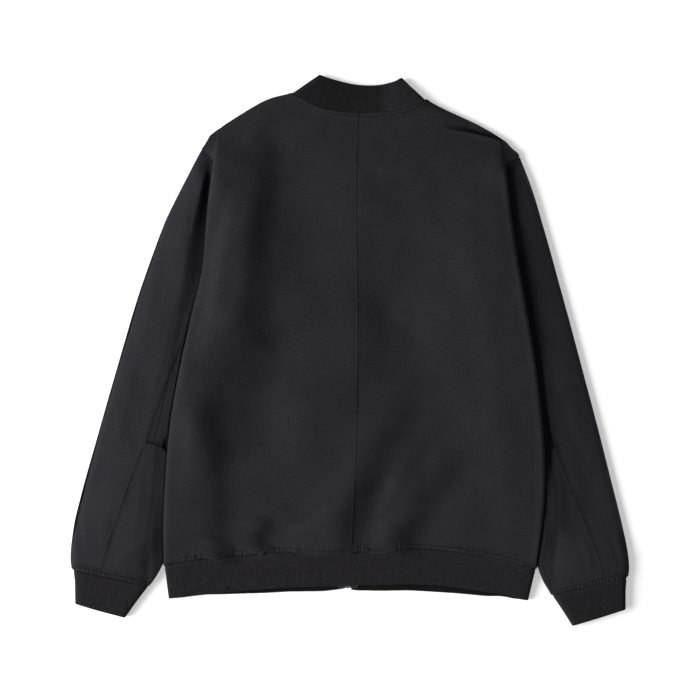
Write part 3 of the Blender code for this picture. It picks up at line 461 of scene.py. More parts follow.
def tuck_lift(x, y):
    distance, share, side = off_path(x, y, TUCK)
    depth = TUCK_DEPTH * ease(share * 1.3)
    above = distance * (side > 0)
    low = -depth * ease(above / TUCK_STEP) * np.exp(-(above / TUCK_REACH) ** 2)
    return low + TUCK_LIP * depth * np.exp(-(distance / LIP_WIDTH) ** 2) * (side < 0)

# %% The lift of the whole back
# Ripples: shortest and longest wave, height, seed.
BACK_RIPPLES = [((55, 110), 0.30, 3), ((22, 40), 0.07, 4)]
SLEEVE_RIPPLES = [((45, 90), 0.30, 5), ((18, 34), 0.08, 6)]
COLLAR_RIPPLES = [((40, 80), 0.25, 7)]
BAND_CALM = (22, 20)                        # the lift dies out from the hem seam down to 22 mm below it


def back_lift(x, y):
    total = lift_of(x, y, BACK_FOLDS) + falls_of(x, y, BACK_FALLS) + tuck_lift(x, y)
    total += ripples(x, y, BACK_RIPPLES)
    return total * ease((y - hem_y(x) + BAND_CALM[0]) / BAND_CALM[1])

# %% Creases of the sleeves
SLEEVE_FOLDS = {"left": read_folds(Fold, """
-262 150, -282 60, -300 -20 | 16 0.8
-335 -60, -352 -130, -362 -200 | 14 0.9
-262 -250, -278 -262, -312 -285, -330 -300 | 9 1.0
-372 -215, -376 -260, -372 -296 | 8 -0.7
"""), "right": read_folds(Fold, """
296 -10, 312 -80, 330 -150 | 15 0.8
318 -255, 332 -285, 338 -318 | 7 0.7
360 -250, 372 -285, 378 -312 | 7 -0.7
""")}
SLEEVE_FALLS = {"left": read_folds(Fall, """
-250 -262, -270 -282, -300 -306 | 8 -2.6 24
-342 -292, -336 -250, -326 -210 | 8 1.2 20
-318 -150, -312 -105, -302 -50, -296 -5 | 16 3.4 44
"""), "right": read_folds(Fall, """
300 -285, 280 -235, 264 -190 | 10 -1.6 24
330 -240, 322 -180, 306 -120 | 12 1.2 26
""")}

# %% [markdown]
# ## A sleeve beside the body
# Each sleeve slips under the body. Its solid steps down there, but cloth slopes gently, and in some places it
# drops into a deep pocket beside the body's edge and in others it lies up against that edge. So the sleeve's top
# is pressed down to a wanted height, or filled up to it, and the heights are tables read down the jacket.

# %% The wanted heights of a sleeve
# From the sleeve's outline (0) to the body's edge (1) and on under the body, for its upper and its lower half.
PRESS_AT = (0.0, 0.1, 0.3, 0.5, 0.7, 0.85, 1.0, 1.4)
PRESSED = {"left": ((6.5, 10.2, 13.2, 15.8, 17.4, 17.4, 17.0, 12.0), (6.5, 9.4, 11.8, 13.6, 14.3, 13.4, 11.6, 9.0)),
           "right": ((6.3, 7.2, 8.2, 9.1, 9.6, 9.4, 9.0, 8.0), (6.3, 7.4, 8.8, 10.2, 11.6, 12.4, 12.8, 11.0))}
HALVES = {"left": (30, 130), "right": (-20, 70)}     # from where up the upper half begins, and over how much
# Beside the body, place by place down the jacket: how deep the sleeve drops, over what width, and how much it
# stands up first.
DROPS = {
    "left": numbers("""
        -300 1.5 14 0; 0 0.6 14 0; 42 0.8 14 0; 84 3.5 18 0; 126 6.5 20 0; 170 9 16 0; 205 9 10 0; 240 9 7 0;
        300 9 6 0"""),
    "right": numbers("""
        -330 0 24 0; -300 -1.5 30 0; -250 -5 38 0; -190 -5 34 0; -166 -1 20 0; -158 1 9 0; -142 4.5 9 1;
        -60 3.6 6 1.5; 10 3.2 5 1.5; 60 4.4 8 2.2; 130 5 10 1.5; 200 4.5 12 0; 300 4.5 12 0""")}
# How much of the dip beside the body is filled up: place down the jacket, share, reach.
FILLS = {
    "left": numbers("""
        -300 0.9 15; 45 0.9 15; 84 0.6 12; 126 0.2 12; 165 0.7 17; 200 0.9 20; 232 0.9 20; 252 0.15 20; 264 0 20"""),
    "right": numbers("""
        -300 0.95 42; -170 0.95 42; -156 0 20; 300 0 9""")}
PRESS_SOFT = 1.0                            # how softly the press begins
CUFF_CALM = (-300, 60)                      # near the cuff the press fades out, from here up and over this much
STAND_AT, STAND_WIDE = 8, 5                 # where beside the body the sleeve stands up
DROP_AT, FILL_FADE = 2.5, 11                # where the drop begins, and over how much the filling ends

# %% Outlines and tops
def tree_of(things):
    """One search tree over several meshes."""
    corners, faces, start = [], [], 0
    for thing in things:
        corners += places(thing).tolist()
        faces += [[start + i for i in p.vertices] for p in thing.data.polygons]
        start = len(corners)
    return BVHTree.FromPolygons(corners, faces)


def outline_of(things, sign, step=8.0):
    """How far out the pieces reach to one side, for places down the jacket."""
    points = np.vstack([places(thing) for thing in things])
    levels = np.arange(points[:, 1].min() + step, points[:, 1].max() - step, step)
    reach = [sign * (sign * points[np.abs(points[:, 1] - level) < step][:, 0]).max() for level in levels]
    return levels, np.array(reach)


SIGN = {"left": -1, "right": 1}
sleeve_parts = {side: [shells[n + side] for n in ("top_sleeve_", "under_sleeve_upper_", "under_sleeve_lower_")]
                for side in SIDES}
sleeve_trees = {side: tree_of(parts) for side, parts in sleeve_parts.items()}
sleeve_outlines = {side: outline_of(parts, SIGN[side]) for side, parts in sleeve_parts.items()}
body_outlines = {side: outline_of([shells["back_panel_" + side]], SIGN[side]) for side in SIDES}
collar_outline = outline_of([shells["collar_band"]], 1, 3.0)


def top_of(tree, x, y):
    """The height of the highest of five hits at and round each place, so that no gap between pieces counts."""
    top = np.zeros(len(x))
    for i, j in ((0, 0), (0.8, 0), (-0.8, 0), (0, 0.8), (0, -0.8)):
        hits = [tree.ray_cast(Vector((a + i, b + j, 60.0)), Vector((0, 0, -1)))[0] for a, b in zip(x, y)]
        top = np.maximum(top, [hit.z if hit else 0.0 for hit in hits])
    return top

# %% Press and fill
def sleeve_press(x, y, side):
    """How far a sleeve's top is pressed down beside the body, and how far it is filled up."""
    outside, inside = np.interp(y, *sleeve_outlines[side]), np.interp(y, *body_outlines[side])
    share = (outside - x) / (outside - inside)
    off = np.abs(outside - inside) * (1 - share)
    depth, wide, stand = along(DROPS[side], y)
    fill, reach = along(FILLS[side], y)
    high, low = (np.interp(share, PRESS_AT, row) for row in PRESSED[side])
    half = ease((y - HALVES[side][0]) / HALVES[side][1])
    over = top_of(sleeve_trees[side], x, y) - high * half - low * (1 - half)
    over += depth * (1 - ease((off - DROP_AT) / wide))
    pressed = -0.5 * (over + np.sqrt(over ** 2 + PRESS_SOFT ** 2)) * ease((y - CUFF_CALM[0]) / CUFF_CALM[1])
    near = fill * ease((off + 2) / 4) * (1 - ease((off - reach) / FILL_FADE))
    return pressed + stand * np.exp(-((off - STAND_AT) / STAND_WIDE) ** 2), np.maximum(-over - 0.5, 0) * near

# %% Creases of the fronts, on the hidden side
FRONT_FOLDS = read_folds(Fold, """
-150 230, -140 120, -120 20 | 22 2.0
-60 150, -75 40, -80 -60 | 18 1.2
-110 -120, -90 -200, -70 -262 | 16 1.6
150 210, 135 110, 110 20 | 20 1.8
60 60, 80 -60, 120 -150 | 18 1.4
100 -190, 80 -240, 60 -275 | 14 1.2
""")

# %% [markdown]
# ## Press the creases in
# Each kind of piece has its own way of taking the lift. Only its upper face moves: what lies low, under the body
# or on the table, stays as it is, and between the two the lift grows over a few millimetres of height. The last
# small shifts bring corners and outer edges to where the cloth really ends.

# %% Heights, shifts and corners
# From which height a point belongs to a piece's upper face, and over how much that begins.
UPPER = {"back": (7.5, 2.5), "back edge": (9.0, 2.5), "front": (2.4, 1.0), "sleeve": (7.0, 5.0),
         "sleeve side": (4.8, 1.5), "hem": (6.0, 1.5), "collar": (4.0, 2.0)}
EDGE_CRISP, EDGE_WIDE = 2.4, 8              # the body's right edge stands up before it turns under
ELBOW_LOW, SINK_FROM, SINK_OVER = 3.0, 10, 70    # the right under-sleeve sinks towards the elbow, down from here
# Corners: place, size, and the shift there.
BODY_TIP = (240, 272), 5, (-2.2, -0.6)
SLEEVE_TIP = (236, 266), 12, (-0.48, 2.08)
SHOULDER_TIP = (222, 286), 15, (0, -3.0)
# How far out the sleeves' and cuffs' outer edges stand from the solids': place down the jacket, shift.
EDGES_OUT = {
    "left": numbers("""
        -350 2.4; -322 0.6; -294 1.7; -238 1.8; -210 0.7; -126 0; -42 0; 42 0.6; 98 0.2; 126 0.6; 154 1.4; 182 2.1;
        210 1; 240 0.4"""),
    "right": numbers("""
        -350 1; -266 1.3; -154 0.8; -98 0.3; -42 0.7; 14 1.3; 42 2.7; 70 2.9; 98 2; 154 1; 182 0.6; 210 1.4;
        238 1.8; 262 0.6""")}
COLLAR_SINK, COLLAR_RISE = (-62, 70, 2.6), (44, 24, 3.2)         # where it begins, over how much, how high
COLLAR_CRISP, COLLAR_SEAM = 2.6, 318        # its right edge stands up; its seam lies this far up the jacket
COLLAR_TOP = numbers("""
    -20 0; 0 -1; 34 -1.7; 53 -1.2; 73 -2.4; 95 -2""")


def upper(z, part):
    return ease((z - UPPER[part][0]) / UPPER[part][1])


def shift_corner(points, corner, size, shift):
    """Move what lies near one place on the table."""
    near = np.exp(-((points[:, 0] - corner[0]) ** 2 + (points[:, 1] - corner[1]) ** 2) / size ** 2)
    points[:, :2] += near[:, None] * shift


def widen(points, side):
    """Bring a sleeve's outer edge to its outline."""
    gap = np.abs(np.interp(points[:, 1], *sleeve_outlines[side]) - points[:, 0])
    points[:, 0] += SIGN[side] * along(EDGES_OUT[side], points[:, 1])[0] * (1 - ease(gap / 40))


def collar_lift(x, y):
    """The collar sinks a little to the right of its left end and stands up again at its right end."""
    sink, rise = (high * ease((x - start) / over) for start, over, high in (COLLAR_SINK, COLLAR_RISE))
    inward = np.interp(y, *collar_outline) - x
    return (rise - sink) * ease((y - COLLAR_SEAM) / 14) + COLLAR_CRISP * np.exp(-(inward / 5) ** 2)

# %% One function for each kind of piece
# x, y and z are views of the points, so they follow each move.
def press_back(points, side):
    x, y, z = points.T
    weight = upper(z, "back")
    points[:, 2] += back_lift(x, y) * weight
    points[:, 1] += hem_wander(x, y) * weight
    if side == "right":
        shift_corner(points, *BODY_TIP)
        inward = np.interp(y, *body_outlines[side]) - x
        points[:, 2] += EDGE_CRISP * np.exp(-(inward / EDGE_WIDE) ** 2) * upper(z, "back edge")
        shift_corner(points, *SHOULDER_TIP)


def press_front(points, side):
    x, y, z = points.T
    points[:, 2] += lift_of(x, y, FRONT_FOLDS) * (1 - upper(z, "front"))
    if side == "right":
        shift_corner(points, *SHOULDER_TIP)


def press_sleeve(points, side, sink=0.0):
    x, y, z = points.T
    pressed, filled = sleeve_press(x, y, side)
    lift = lift_of(x, y, SLEEVE_FOLDS[side]) + falls_of(x, y, SLEEVE_FALLS[side]) + pressed
    lift += ripples(x, y, SLEEVE_RIPPLES)
    lift -= sink * ease((-y - SINK_FROM) / SINK_OVER)
    points[:, 2] += lift * upper(z, "sleeve") + filled * upper(z, "sleeve side")
    if side == "right":
        shift_corner(points, *SLEEVE_TIP)
    widen(points, side)


def press_under_sleeve(points, side):
    press_sleeve(points, side, ELBOW_LOW if side == "right" else 0.0)


def press_hem(points, side):
    x, y, z = points.T
    weight = upper(z, "hem")
    points[:, 2] += back_lift(x, y) * weight
    points[:, 1] += (hem_wander(x, y) + hem_edge(x, y, 0)) * weight + hem_edge(x, y, 1) * (1 - weight)


def press_collar(points, side):
    x, y, z = points.T
    points[:, 2] += (ripples(x, y, COLLAR_RIPPLES) + collar_lift(x, y)) * upper(z, "collar")
    points[:, 1] += along(COLLAR_TOP, x)[0] * ease((y - 322) / 35)


def press_cuff(points, side):
    widen(points, side)

# %% Press them in
PRESSES = {"back_panel": press_back, "front_panel": press_front, "top_sleeve": press_sleeve,
           "under_sleeve_upper": press_under_sleeve, "under_sleeve_lower": press_sleeve, "hem": press_hem,
           "collar": press_collar, "cuff": press_cuff}
for name, shell in shells.items():
    press = next((press for start, press in PRESSES.items() if name.startswith(start)), None)
    if press:
        points = places(shell)
        press(points, "left" if points[:, 0].mean() < 0 else "right")
        put(shell, points)
print("creases pressed in:", sum(len(folds) for folds in (BACK_FOLDS, BACK_FALLS, FRONT_FOLDS)))

# %% [markdown]
# ## Rails round the rib bands
# A rib band is a tube of knit, flattened, with a seam on one side and a folded edge on the other. Ribs,
# puckers and stitches all follow those two lines, so they are found first: sharp edges of the fine shell are
# walked from vertex to vertex. Both lines are cut at the two sides, where the band turns under, and spaced
# evenly, so that a rib runs straight from the seam to the edge.

# %% Walk along the rims
def length_of(line):
    return float(np.linalg.norm(np.diff(line, axis=0), axis=1).sum())


SHARP_RIM, SHARP_SEAM = 70, 60              # degrees past which an edge of a band, or of a panel, is a rim


def rim_lines(thing, angle):
    """The sharp edges of a mesh as long lines in millimetres, the longest first."""
    work = bmesh.new()
    work.from_mesh(thing.data)
    at = {}
    for edge in work.edges:
        if sharp(edge, radians(angle)):
            for vertex in edge.verts:
                at.setdefault(vertex, []).append(edge)
    used, lines = set(), []
    for start in [v for v, edges in at.items() if len(edges) != 2] + list(at):
        for first in at[start]:
            if first in used:
                continue
            used.add(first)
            line, vertex = [start], first.other_vert(start)
            while len(at[vertex]) == 2 and vertex is not start:
                line.append(vertex)
                ahead = [e for e in at[vertex] if e not in used]
                if not ahead:
                    break
                used.add(ahead[0])
                vertex = ahead[0].other_vert(vertex)
            line.append(vertex)
            lines.append(np.array([v.co[:] for v in line]) / MM)
    work.free()
    return sorted(lines, key=length_of, reverse=True)


def spaced(line, count):
    """The same line as so many even steps."""
    way = np.concatenate([[0], np.cumsum(np.linalg.norm(np.diff(line, axis=0), axis=1))])
    wanted = np.linspace(0, way[-1], count + 1)
    return np.column_stack([np.interp(wanted, way, line[:, k]) for k in range(line.shape[1])])


def cut_at_sides(line, closed):
    """Cut a rim where it turns under: an open one starts on the right, a closed one runs over the top first."""
    right, left = int(line[:, 0].argmax()), int(line[:, 0].argmin())
    if not closed:
        if right > left:
            line = line[::-1]
            right, left = len(line) - 1 - right, len(line) - 1 - left
        return [line[:right + 1], line[right:left + 1], line[left:]]
    ring = np.roll(line[:-1], -right, axis=0)
    left = int(ring[:, 0].argmin())
    parts = [ring[:left + 1], np.vstack([ring[left:], ring[:1]])]
    if parts[0][:, 2].mean() < parts[1][:, 2].mean():
        parts = [parts[1][::-1], parts[0][::-1]]
    return parts

# %% Both rims of a band
Rails = namedtuple("Rails", "seam edge up out closed")
COLLAR_ENDS = 306.8                         # the collar's own ends, at the zip, lie below this


def band_rails(name, step):
    """Both rims of a band, point by point, with the directions up from the edge and out of the band."""
    closed = name.startswith("cuff")
    lines = rim_lines(shells[name], SHARP_RIM)
    rims_here = sorted(lines[:4] if closed or name == "hem_band" else lines[:3], key=lambda l: l[:, 1].mean())
    if name == "collar_band":
        seam = max(rims_here[:2], key=length_of)
        edge = rims_here[-1]
        edge = edge[edge[:, 1] > COLLAR_ENDS]
    else:
        edge, seam = max(rims_here[:2], key=length_of), max(rims_here[2:], key=length_of)
    seams, edges = [], []
    for a, b in zip(cut_at_sides(seam, closed), cut_at_sides(edge, closed)):
        count = max(2, round(length_of(a) / step))
        seams.append(spaced(a, count)[:-1])
        edges.append(spaced(b, count)[:-1])
    if not closed:
        seams.append(a[-1:])
        edges.append(b[-1:])
    seam, edge = np.vstack(seams), np.vstack(edges)
    up = seam - edge
    up /= np.linalg.norm(up, axis=1)[:, None]
    if closed:
        run = np.roll(seam, -2, axis=0) - np.roll(seam, 2, axis=0)
    else:
        run = np.gradient(seam, axis=0)
    out = np.cross(run, up)
    out /= np.linalg.norm(out, axis=1)[:, None]
    if out[seam[:, 2].argmax(), 2] < 0:
        out = -out
    return Rails(seam, edge, up, out, closed)


BAND_NAMES = [piece.name for piece in BANDS]
for name in BAND_NAMES:
    rails = band_rails(name, 4.0)
    print(name, "seam", round(length_of(rails.seam)), "mm, edge", round(length_of(rails.edge)), "mm")

# %% [markdown]
# ## Helpers for Geometry Nodes
# What repeats is made by a Geometry Nodes tree that runs on a set of lines. Each tree starts with named inputs
# for its sizes and ends in real meshes with a material, and the result is kept as a plain mesh.

# %% Start a tree, end it and run it
def sockets(tree, **kinds):
    for name, kind in kinds.items():
        tree.interface.new_socket(name, in_out="INPUT", socket_type="NodeSocket" + kind)
    return tree.nodes.new("NodeGroupInput").outputs


def close_tree(tree, geometry, material):
    tree.interface.new_socket("Geometry", in_out="OUTPUT", socket_type="NodeSocketGeometry")
    real = place(tree, "GeometryNodeRealizeInstances", {"Geometry": geometry})
    done = place(tree, "GeometryNodeSetMaterial", {"Geometry": real.outputs["Geometry"], "Material": material})
    place(tree, "NodeGroupOutput", {"Geometry": done.outputs["Geometry"]})


def grow(name, points, edges, tree, **values):
    """Run a Geometry Nodes tree on a set of lines and keep the result as a plain mesh."""
    mesh = bpy.data.meshes.new(name)
    mesh.from_pydata((np.asarray(points) * MM).tolist(), edges, [])
    thing = link(name, mesh)
    modifier = thing.modifiers.new(name, "NODES")
    modifier.node_group = tree
    for item in tree.interface.items_tree:
        if item.item_type == "SOCKET" and item.in_out == "INPUT" and item.name in values:
            modifier[item.identifier] = values[item.name]
    plain_mesh(thing)
    print(name, len(thing.data.polygons), "faces")
    return thing


def line_edges(count, start=0):
    return [(start + i, start + i + 1) for i in range(count - 1)]


def outward(mesh):
    """Turn the faces of a closed mesh outwards."""
    work = bmesh.new()
    work.from_mesh(mesh)
    bmesh.ops.recalc_face_normals(work, faces=work.faces)
    work.to_mesh(mesh)
    work.free()

# %% [markdown]
# ## Ribs of the knit bands
# A rib band is knitted in raised columns with narrow valleys between them, which is what lets it stretch. Each
# column is a half-buried tube from the seam over the folded edge. Its line is laid on the fine shell with a ray
# cast, and one Geometry Nodes tree turns all lines of a band into tubes.

# %% A tree for ribs
rib_tree = bpy.data.node_groups.new("knit ribs", "GeometryNodeTree")
given = sockets(rib_tree, Geometry="Geometry", Radius="Float", Sides="Int", Material="Material")
curves = place(rib_tree, "GeometryNodeMeshToCurve", {"Mesh": given["Geometry"]})
ring = place(rib_tree, "GeometryNodeCurvePrimitiveCircle",
             {"Resolution": given["Sides"], "Radius": given["Radius"]})
tubes = place(rib_tree, "GeometryNodeCurveToMesh",
              {"Curve": curves.outputs["Curve"], "Profile Curve": ring.outputs["Curve"], "Fill Caps": True})
close_tree(rib_tree, tubes.outputs["Mesh"], given["Material"])

# %% Lay the ribs on the bands
RIB_PITCH, RIB_RADIUS, RIB_SIDES = 1.5, 0.62, 6
RIB_SINK, END_SINK = 0.40, 0.35             # depth of a rib's middle under the shell, and its end's further depth
RIB_STEPS, RIB_SPAN = 11, (0.02, 0.985)     # points along a rib, and its share of the way to the edge
BAND_WALL = 2.4
# Round the folded edge and up the inner face: how far past the edge, and how far in from the outer face.
RIB_TURN = [(0.3, 0.55), (0.35, BAND_WALL - 0.55), (-1.2, BAND_WALL - 0.1)]
CLEAR = 0.03                                # how far above the table a rib stays


def settle(tree, point, out, reach=9.0):
    """The place where a point lies on a surface, looked for along the way in."""
    out = Vector(out)
    hit = tree.ray_cast(Vector(point) + out * reach, -out, 2 * reach)[0]
    return np.array(hit) if hit else np.array(point)


def lay_ribs(name, material):
    rails = band_rails(name, RIB_PITCH)
    on = tree_of([shells[name]])
    points, edges = [], []
    for seam, edge, up, out in zip(rails.seam, rails.edge, rails.up, rails.out):
        line = [settle(on, seam + (edge - seam) * t, out) - out * RIB_SINK
                for t in np.linspace(*RIB_SPAN, RIB_STEPS)]
        line[0] = line[0] - out * END_SINK
        line += [edge - up * past - out * inward for past, inward in RIB_TURN]
        edges += line_edges(len(line), len(points))
        points += [np.maximum(point, (-np.inf, -np.inf, RIB_RADIUS + CLEAR)) for point in line]
    return grow(name.replace("band", "ribs"), points, edges, rib_tree,
                Radius=RIB_RADIUS * MM, Sides=RIB_SIDES, Material=material)


rib_knit = bpy.data.materials.new("rib_knit")
ribs = {name: lay_ribs(name, rib_knit) for name in BAND_NAMES}

# %% [markdown]
# ## The turned seam beside each band
# Where the cloth meets a rib band, its edge is turned up inside and stitched down a few millimetres from the
# seam. Four layers make a low welt, and because the band is stretched while it is sewn, the welt gathers into
# many fine puckers when it springs back. A strip of fine mesh along the seam holds them, since the shells' own
# faces are too large for that. The puckers come in clusters, as they do where a sewer pulls the band tighter.

# %% Puckers along a seam
# A strip's section: place across, height, share of the gathers, painted shade, and the part carried over the seam's
# gap.
Profile = namedtuple("Profile", "across rise gather deep free")
WELT = 5.6                                  # the welt's stitches lie this far from the seam
WELT_PROFILE = Profile(np.array([-0.7, -0.2, 0.6, 1.8, 3.0, 4.2, 5.0, WELT, 6.2, 7.2, 8.6, 10.4, 12.4]),
                       np.array([-0.6, 0.5, 0.9, 1.0, 0.96, 0.9, 0.7, -0.1, 0.5, 0.4, 0.28, 0.16, -0.3]),
                       np.array([0.3, 0.8, 1.0, 1.0, 0.95, 0.85, 0.7, 0.4, 0.55, 0.42, 0.28, 0.14, 0.0]),
                       np.array([1.0, 0.7, 0.0, 0.0, 0.0, 0.0, 0.0, 0.75, 0.0, 0.0, 0.0, 0.0, 0.0]), (-9.0, 0.3))
PLAIN_PROFILE = Profile(np.array([-3.4, -2.4, -1.5, -0.9, -0.5, 0.0, 0.5, 0.9, 1.5, 2.4, 3.4]),
                        np.array([-0.4, 0.06, 0.14, 0.14, -0.2, -1.2, -0.2, 0.22, 0.24, 0.1, -0.4]),
                        np.ones(11) * 0.25, np.array([0, 0, 0, 0, 0.4, 0.8, 0.4, 0, 0, 0, 0]), (-1.3, 1.3))
STRIP_STEP, STRIP_LOW = 0.75, 0.04          # a strip's grain, and how far above the table it stays
PUCKER_PITCH, PUCKER_HALF, PUCKER_RISE = 3.4, 0.85, 1.25
PITCH_SPREAD, RISE_SPREAD, HALF_SPREAD = (0.6, 1.5), (0.3, 1.0), (0.7, 1.4)      # how uneven they are
BUNCH, BUNCH_RISE = 17, 0.2                 # the loose gathers come and go over about 100 mm


def puckers(stations, strength, seed):
    """Height of the gathers along the seam, with uneven pitch, width and rise."""
    rng = np.random.default_rng(seed)
    height = np.zeros(len(stations))
    spot = 0.0
    while spot < stations[-1]:
        spot += PUCKER_PITCH * rng.uniform(*PITCH_SPREAD)
        rise = PUCKER_RISE * rng.uniform(*RISE_SPREAD) * np.interp(spot, stations, strength)
        height += rise * np.exp(-((stations - spot) / (PUCKER_HALF * rng.uniform(*HALF_SPREAD))) ** 2)
    return height


def clusters(seam, tight, calm, seed):
    """How hard each place along a seam is gathered."""
    strength = calm + BUNCH_RISE * (np.sin(np.arange(len(seam)) * STRIP_STEP / BUNCH + seed) > 0.2)
    for low, high, pull in tight:
        strength[(seam[:, 0] > low) & (seam[:, 0] < high) & (seam[:, 2] > 5)] = pull
    return np.convolve(strength, np.ones(9) / 9, mode="same")

# %% Lay a strip along a line
def ground(on, seam, up, out, profile):
    """The shells' surface under a strip. Near the seam's own gap it is carried over from both sides."""
    low, high = profile.free
    spots = [w for w in profile.across if w <= low or w >= high]
    hits = np.array([settle(on, seam + up * w, out) for w in spots])
    depth = np.interp(profile.across, spots, (hits - seam) @ out)
    return seam + profile.across[:, None] * up + depth[:, None] * out


def lay_strip(name, rails, on, profile, gather):
    """A closed thin strip that lies on the shells, as a mesh with its own grain."""
    count = len(rails.seam)
    tops = np.array([ground(on, seam, up, out, profile) + (profile.rise + profile.gather * tick)[:, None] * out
                     for seam, up, out, tick in zip(rails.seam, rails.up, rails.out, gather)])
    under = np.stack([tops[:, -1] - rails.out, tops[:, 0] - rails.out], axis=1)
    for points in (tops, under):
        points[:, :, 2] = np.maximum(points[:, :, 2], STRIP_LOW)
    ring = np.concatenate([tops, under], axis=1)
    around = ring.shape[1]
    faces = []
    for i in range(count if rails.closed else count - 1):
        a, b = i * around, (i + 1) % count * around
        faces += [(a + k, a + (k + 1) % around, b + (k + 1) % around, b + k) for k in range(around)]
    if not rails.closed:
        faces += [tuple(range(around)), tuple((count - 1) * around + k for k in reversed(range(around)))]
    mesh = bpy.data.meshes.new(name)
    mesh.from_pydata((ring.reshape(-1, 3) * MM).tolist(), [], faces)
    # Painted shade along the seam's groove and the stitch line, kept as an attribute that the cloth's finish reads
    deep = np.tile(np.append(profile.deep, [0, 0]), count)
    mesh.attributes.new("deep", "FLOAT", "POINT").data.foreach_set("value", deep)
    grain = mesh.uv_layers.new(name="grain")
    wide = np.append(profile.across, [profile.across[-1], profile.across[0]])
    spots = np.stack(np.meshgrid(np.arange(count) * STRIP_STEP, wide, indexing="ij"), -1)
    corners = np.array([v for face in faces for v in face])
    grain.data.foreach_set("uv", spots.reshape(-1, 2)[corners].ravel())
    outward(mesh)
    print(name, len(faces), "faces along", round(count * STRIP_STEP), "mm")
    return link(name, mesh), tops

# %% Welts beside the bands
body_tree = tree_of([shells[kind + side] for kind in ("back_panel_", "front_panel_") for side in SIDES])
arm_trees = {side: tree_of(parts) for side, parts in sleeve_parts.items()}
HEM_TIGHT = [(-233, -203, 1.1), (-176, -147, 0.8), (-125, -114, 1.5), (-114, -78, 0.8), (-78, -26, 0.4),
             (8, 24, 1.5), (24, 56, 0.4), (62, 118, 0.7), (152, 172, 0.7)]
Welt = namedtuple("Welt", "name band on tight calm seed")
STITCH_LOW, STITCH_RISE = 0.55, 0.06        # least height of a stitch line, and its height on the cloth
strips, stitch_lines = {}, {}
for welt in [
    Welt("hem_welt", "hem_band", body_tree, HEM_TIGHT, 0.15, 11),
    Welt("neck_welt", "collar_band", body_tree, [(-48, -28, 0.8), (-28, 80, 0.25)], 0.1, 12),
    Welt("cuff_welt_left", "cuff_band_left", arm_trees["left"], [(-385, -290, 1.0)], 0.6, 13),
    Welt("cuff_welt_right", "cuff_band_right", arm_trees["right"], [(285, 385, 1.0)], 0.6, 14),
]:
    rails = band_rails(welt.band, STRIP_STEP)
    if welt.name == "hem_welt":
        x, y, z = rails.seam.T
        only_back = ease((z - 6) / 3)
        rails.seam[:, 1] += (along(HEM_STEPS, x)[0] - np.interp(x, *wander_path.T)) * only_back
    stations = np.arange(len(rails.seam)) * STRIP_STEP
    gather = puckers(stations, clusters(rails.seam, welt.tight, welt.calm, welt.seed), welt.seed)
    strips[welt.name], tops = lay_strip(welt.name, rails, welt.on, WELT_PROFILE, gather)
    row = tops[:, list(WELT_PROFILE.across).index(WELT)] + rails.out * STITCH_RISE
    row[:, 2] = np.maximum(row[:, 2], STITCH_LOW)
    stitch_lines[welt.name] = np.vstack([row, row[:1]]) if rails.closed else row

# %% Plain seams: down the middle of the back, down each sleeve and round the armholes
LONG_RIM, NEAR_MIDDLE = 500, 20             # a seam's least length, and how near x = 0 the back's lies
SMOOTHINGS = 6


def top_rim(thing):
    """The highest long rim of a panel."""
    lines = [line for line in rim_lines(thing, SHARP_SEAM) if length_of(line) > LONG_RIM]
    lines = [line for line in lines if np.abs(line[:, 0]).max() < NEAR_MIDDLE] or lines
    return max(lines, key=lambda line: line[len(line) // 4:, 2].mean())


def plain_rails(line):
    line = spaced(line, round(length_of(line) / STRIP_STEP))
    for _ in range(SMOOTHINGS):
        line[1:-1] = 0.5 * line[1:-1] + 0.25 * (line[:-2] + line[2:])
    run = np.gradient(line, axis=0)
    out = np.tile([0.0, 0.0, 1.0], (len(line), 1))
    up = np.cross(out, run)
    up /= np.linalg.norm(up, axis=1)[:, None]
    return Rails(line, line, up, out, False)


ARMHOLE_END = {"left": 266.0, "right": 257.0}
seam_paths = {"back_seam": (top_rim(shells["back_panel_left"]), body_tree)}
for side in SIDES:
    rim = top_rim(shells["top_sleeve_" + side])
    rim = rim if rim[0, 1] > rim[-1, 1] else rim[::-1]
    arm = np.argmax(rim[:, 1] < ARMHOLE_END[side])
    both = tree_of(sleeve_parts[side] + [shells["back_panel_" + side]])
    seam_paths["armhole_seam_" + side] = (rim[6:arm], both)
    seam_paths["sleeve_seam_" + side] = (rim[arm + 2:], arm_trees[side])
for seed, (name, (line, on)) in enumerate(seam_paths.items()):
    rails = plain_rails(line)
    gather = puckers(np.arange(len(rails.seam)) * STRIP_STEP, np.ones(len(rails.seam)) * 0.4, 30 + seed)
    strips[name], _ = lay_strip(name, rails, on, PLAIN_PROFILE, gather)

# %% [markdown]
# ## Stitches and zip teeth
# A lockstitch seam is a row of short threads, each a little longer than the gap between two of them, and a zip
# is two rows of teeth that mesh. Both are one small piece that repeats along a line. A Geometry Nodes tree does
# that for both: it spaces points along the line, turns the piece to follow it, and varies its size slightly.

# %% A tree that repeats a piece along a line
row_tree = bpy.data.node_groups.new("row of pieces", "GeometryNodeTree")
given = sockets(row_tree, Geometry="Geometry", Piece="Object", Pitch="Float", Unevenness="Float", Seed="Int",
                Material="Material")
curves = place(row_tree, "GeometryNodeMeshToCurve", {"Mesh": given["Geometry"]})
spots = place(row_tree, "GeometryNodeCurveToPoints", {"Curve": curves.outputs["Curve"], "Length": given["Pitch"]},
              mode="LENGTH")
turned = place(row_tree, "FunctionNodeAlignRotationToVector", {"Vector": spots.outputs["Tangent"]}, axis="Y")
piece = place(row_tree, "GeometryNodeObjectInfo", {"Object": given["Piece"]})
least = place(row_tree, "ShaderNodeMath", {0: 1.0, 1: given["Unevenness"]}, operation="SUBTRACT")
most = place(row_tree, "ShaderNodeMath", {0: 1.0, 1: given["Unevenness"]}, operation="ADD")
varied = place(row_tree, "FunctionNodeRandomValue", {"Seed": given["Seed"]}, data_type="FLOAT")
row_tree.links.new(least.outputs[0], varied.inputs[2])
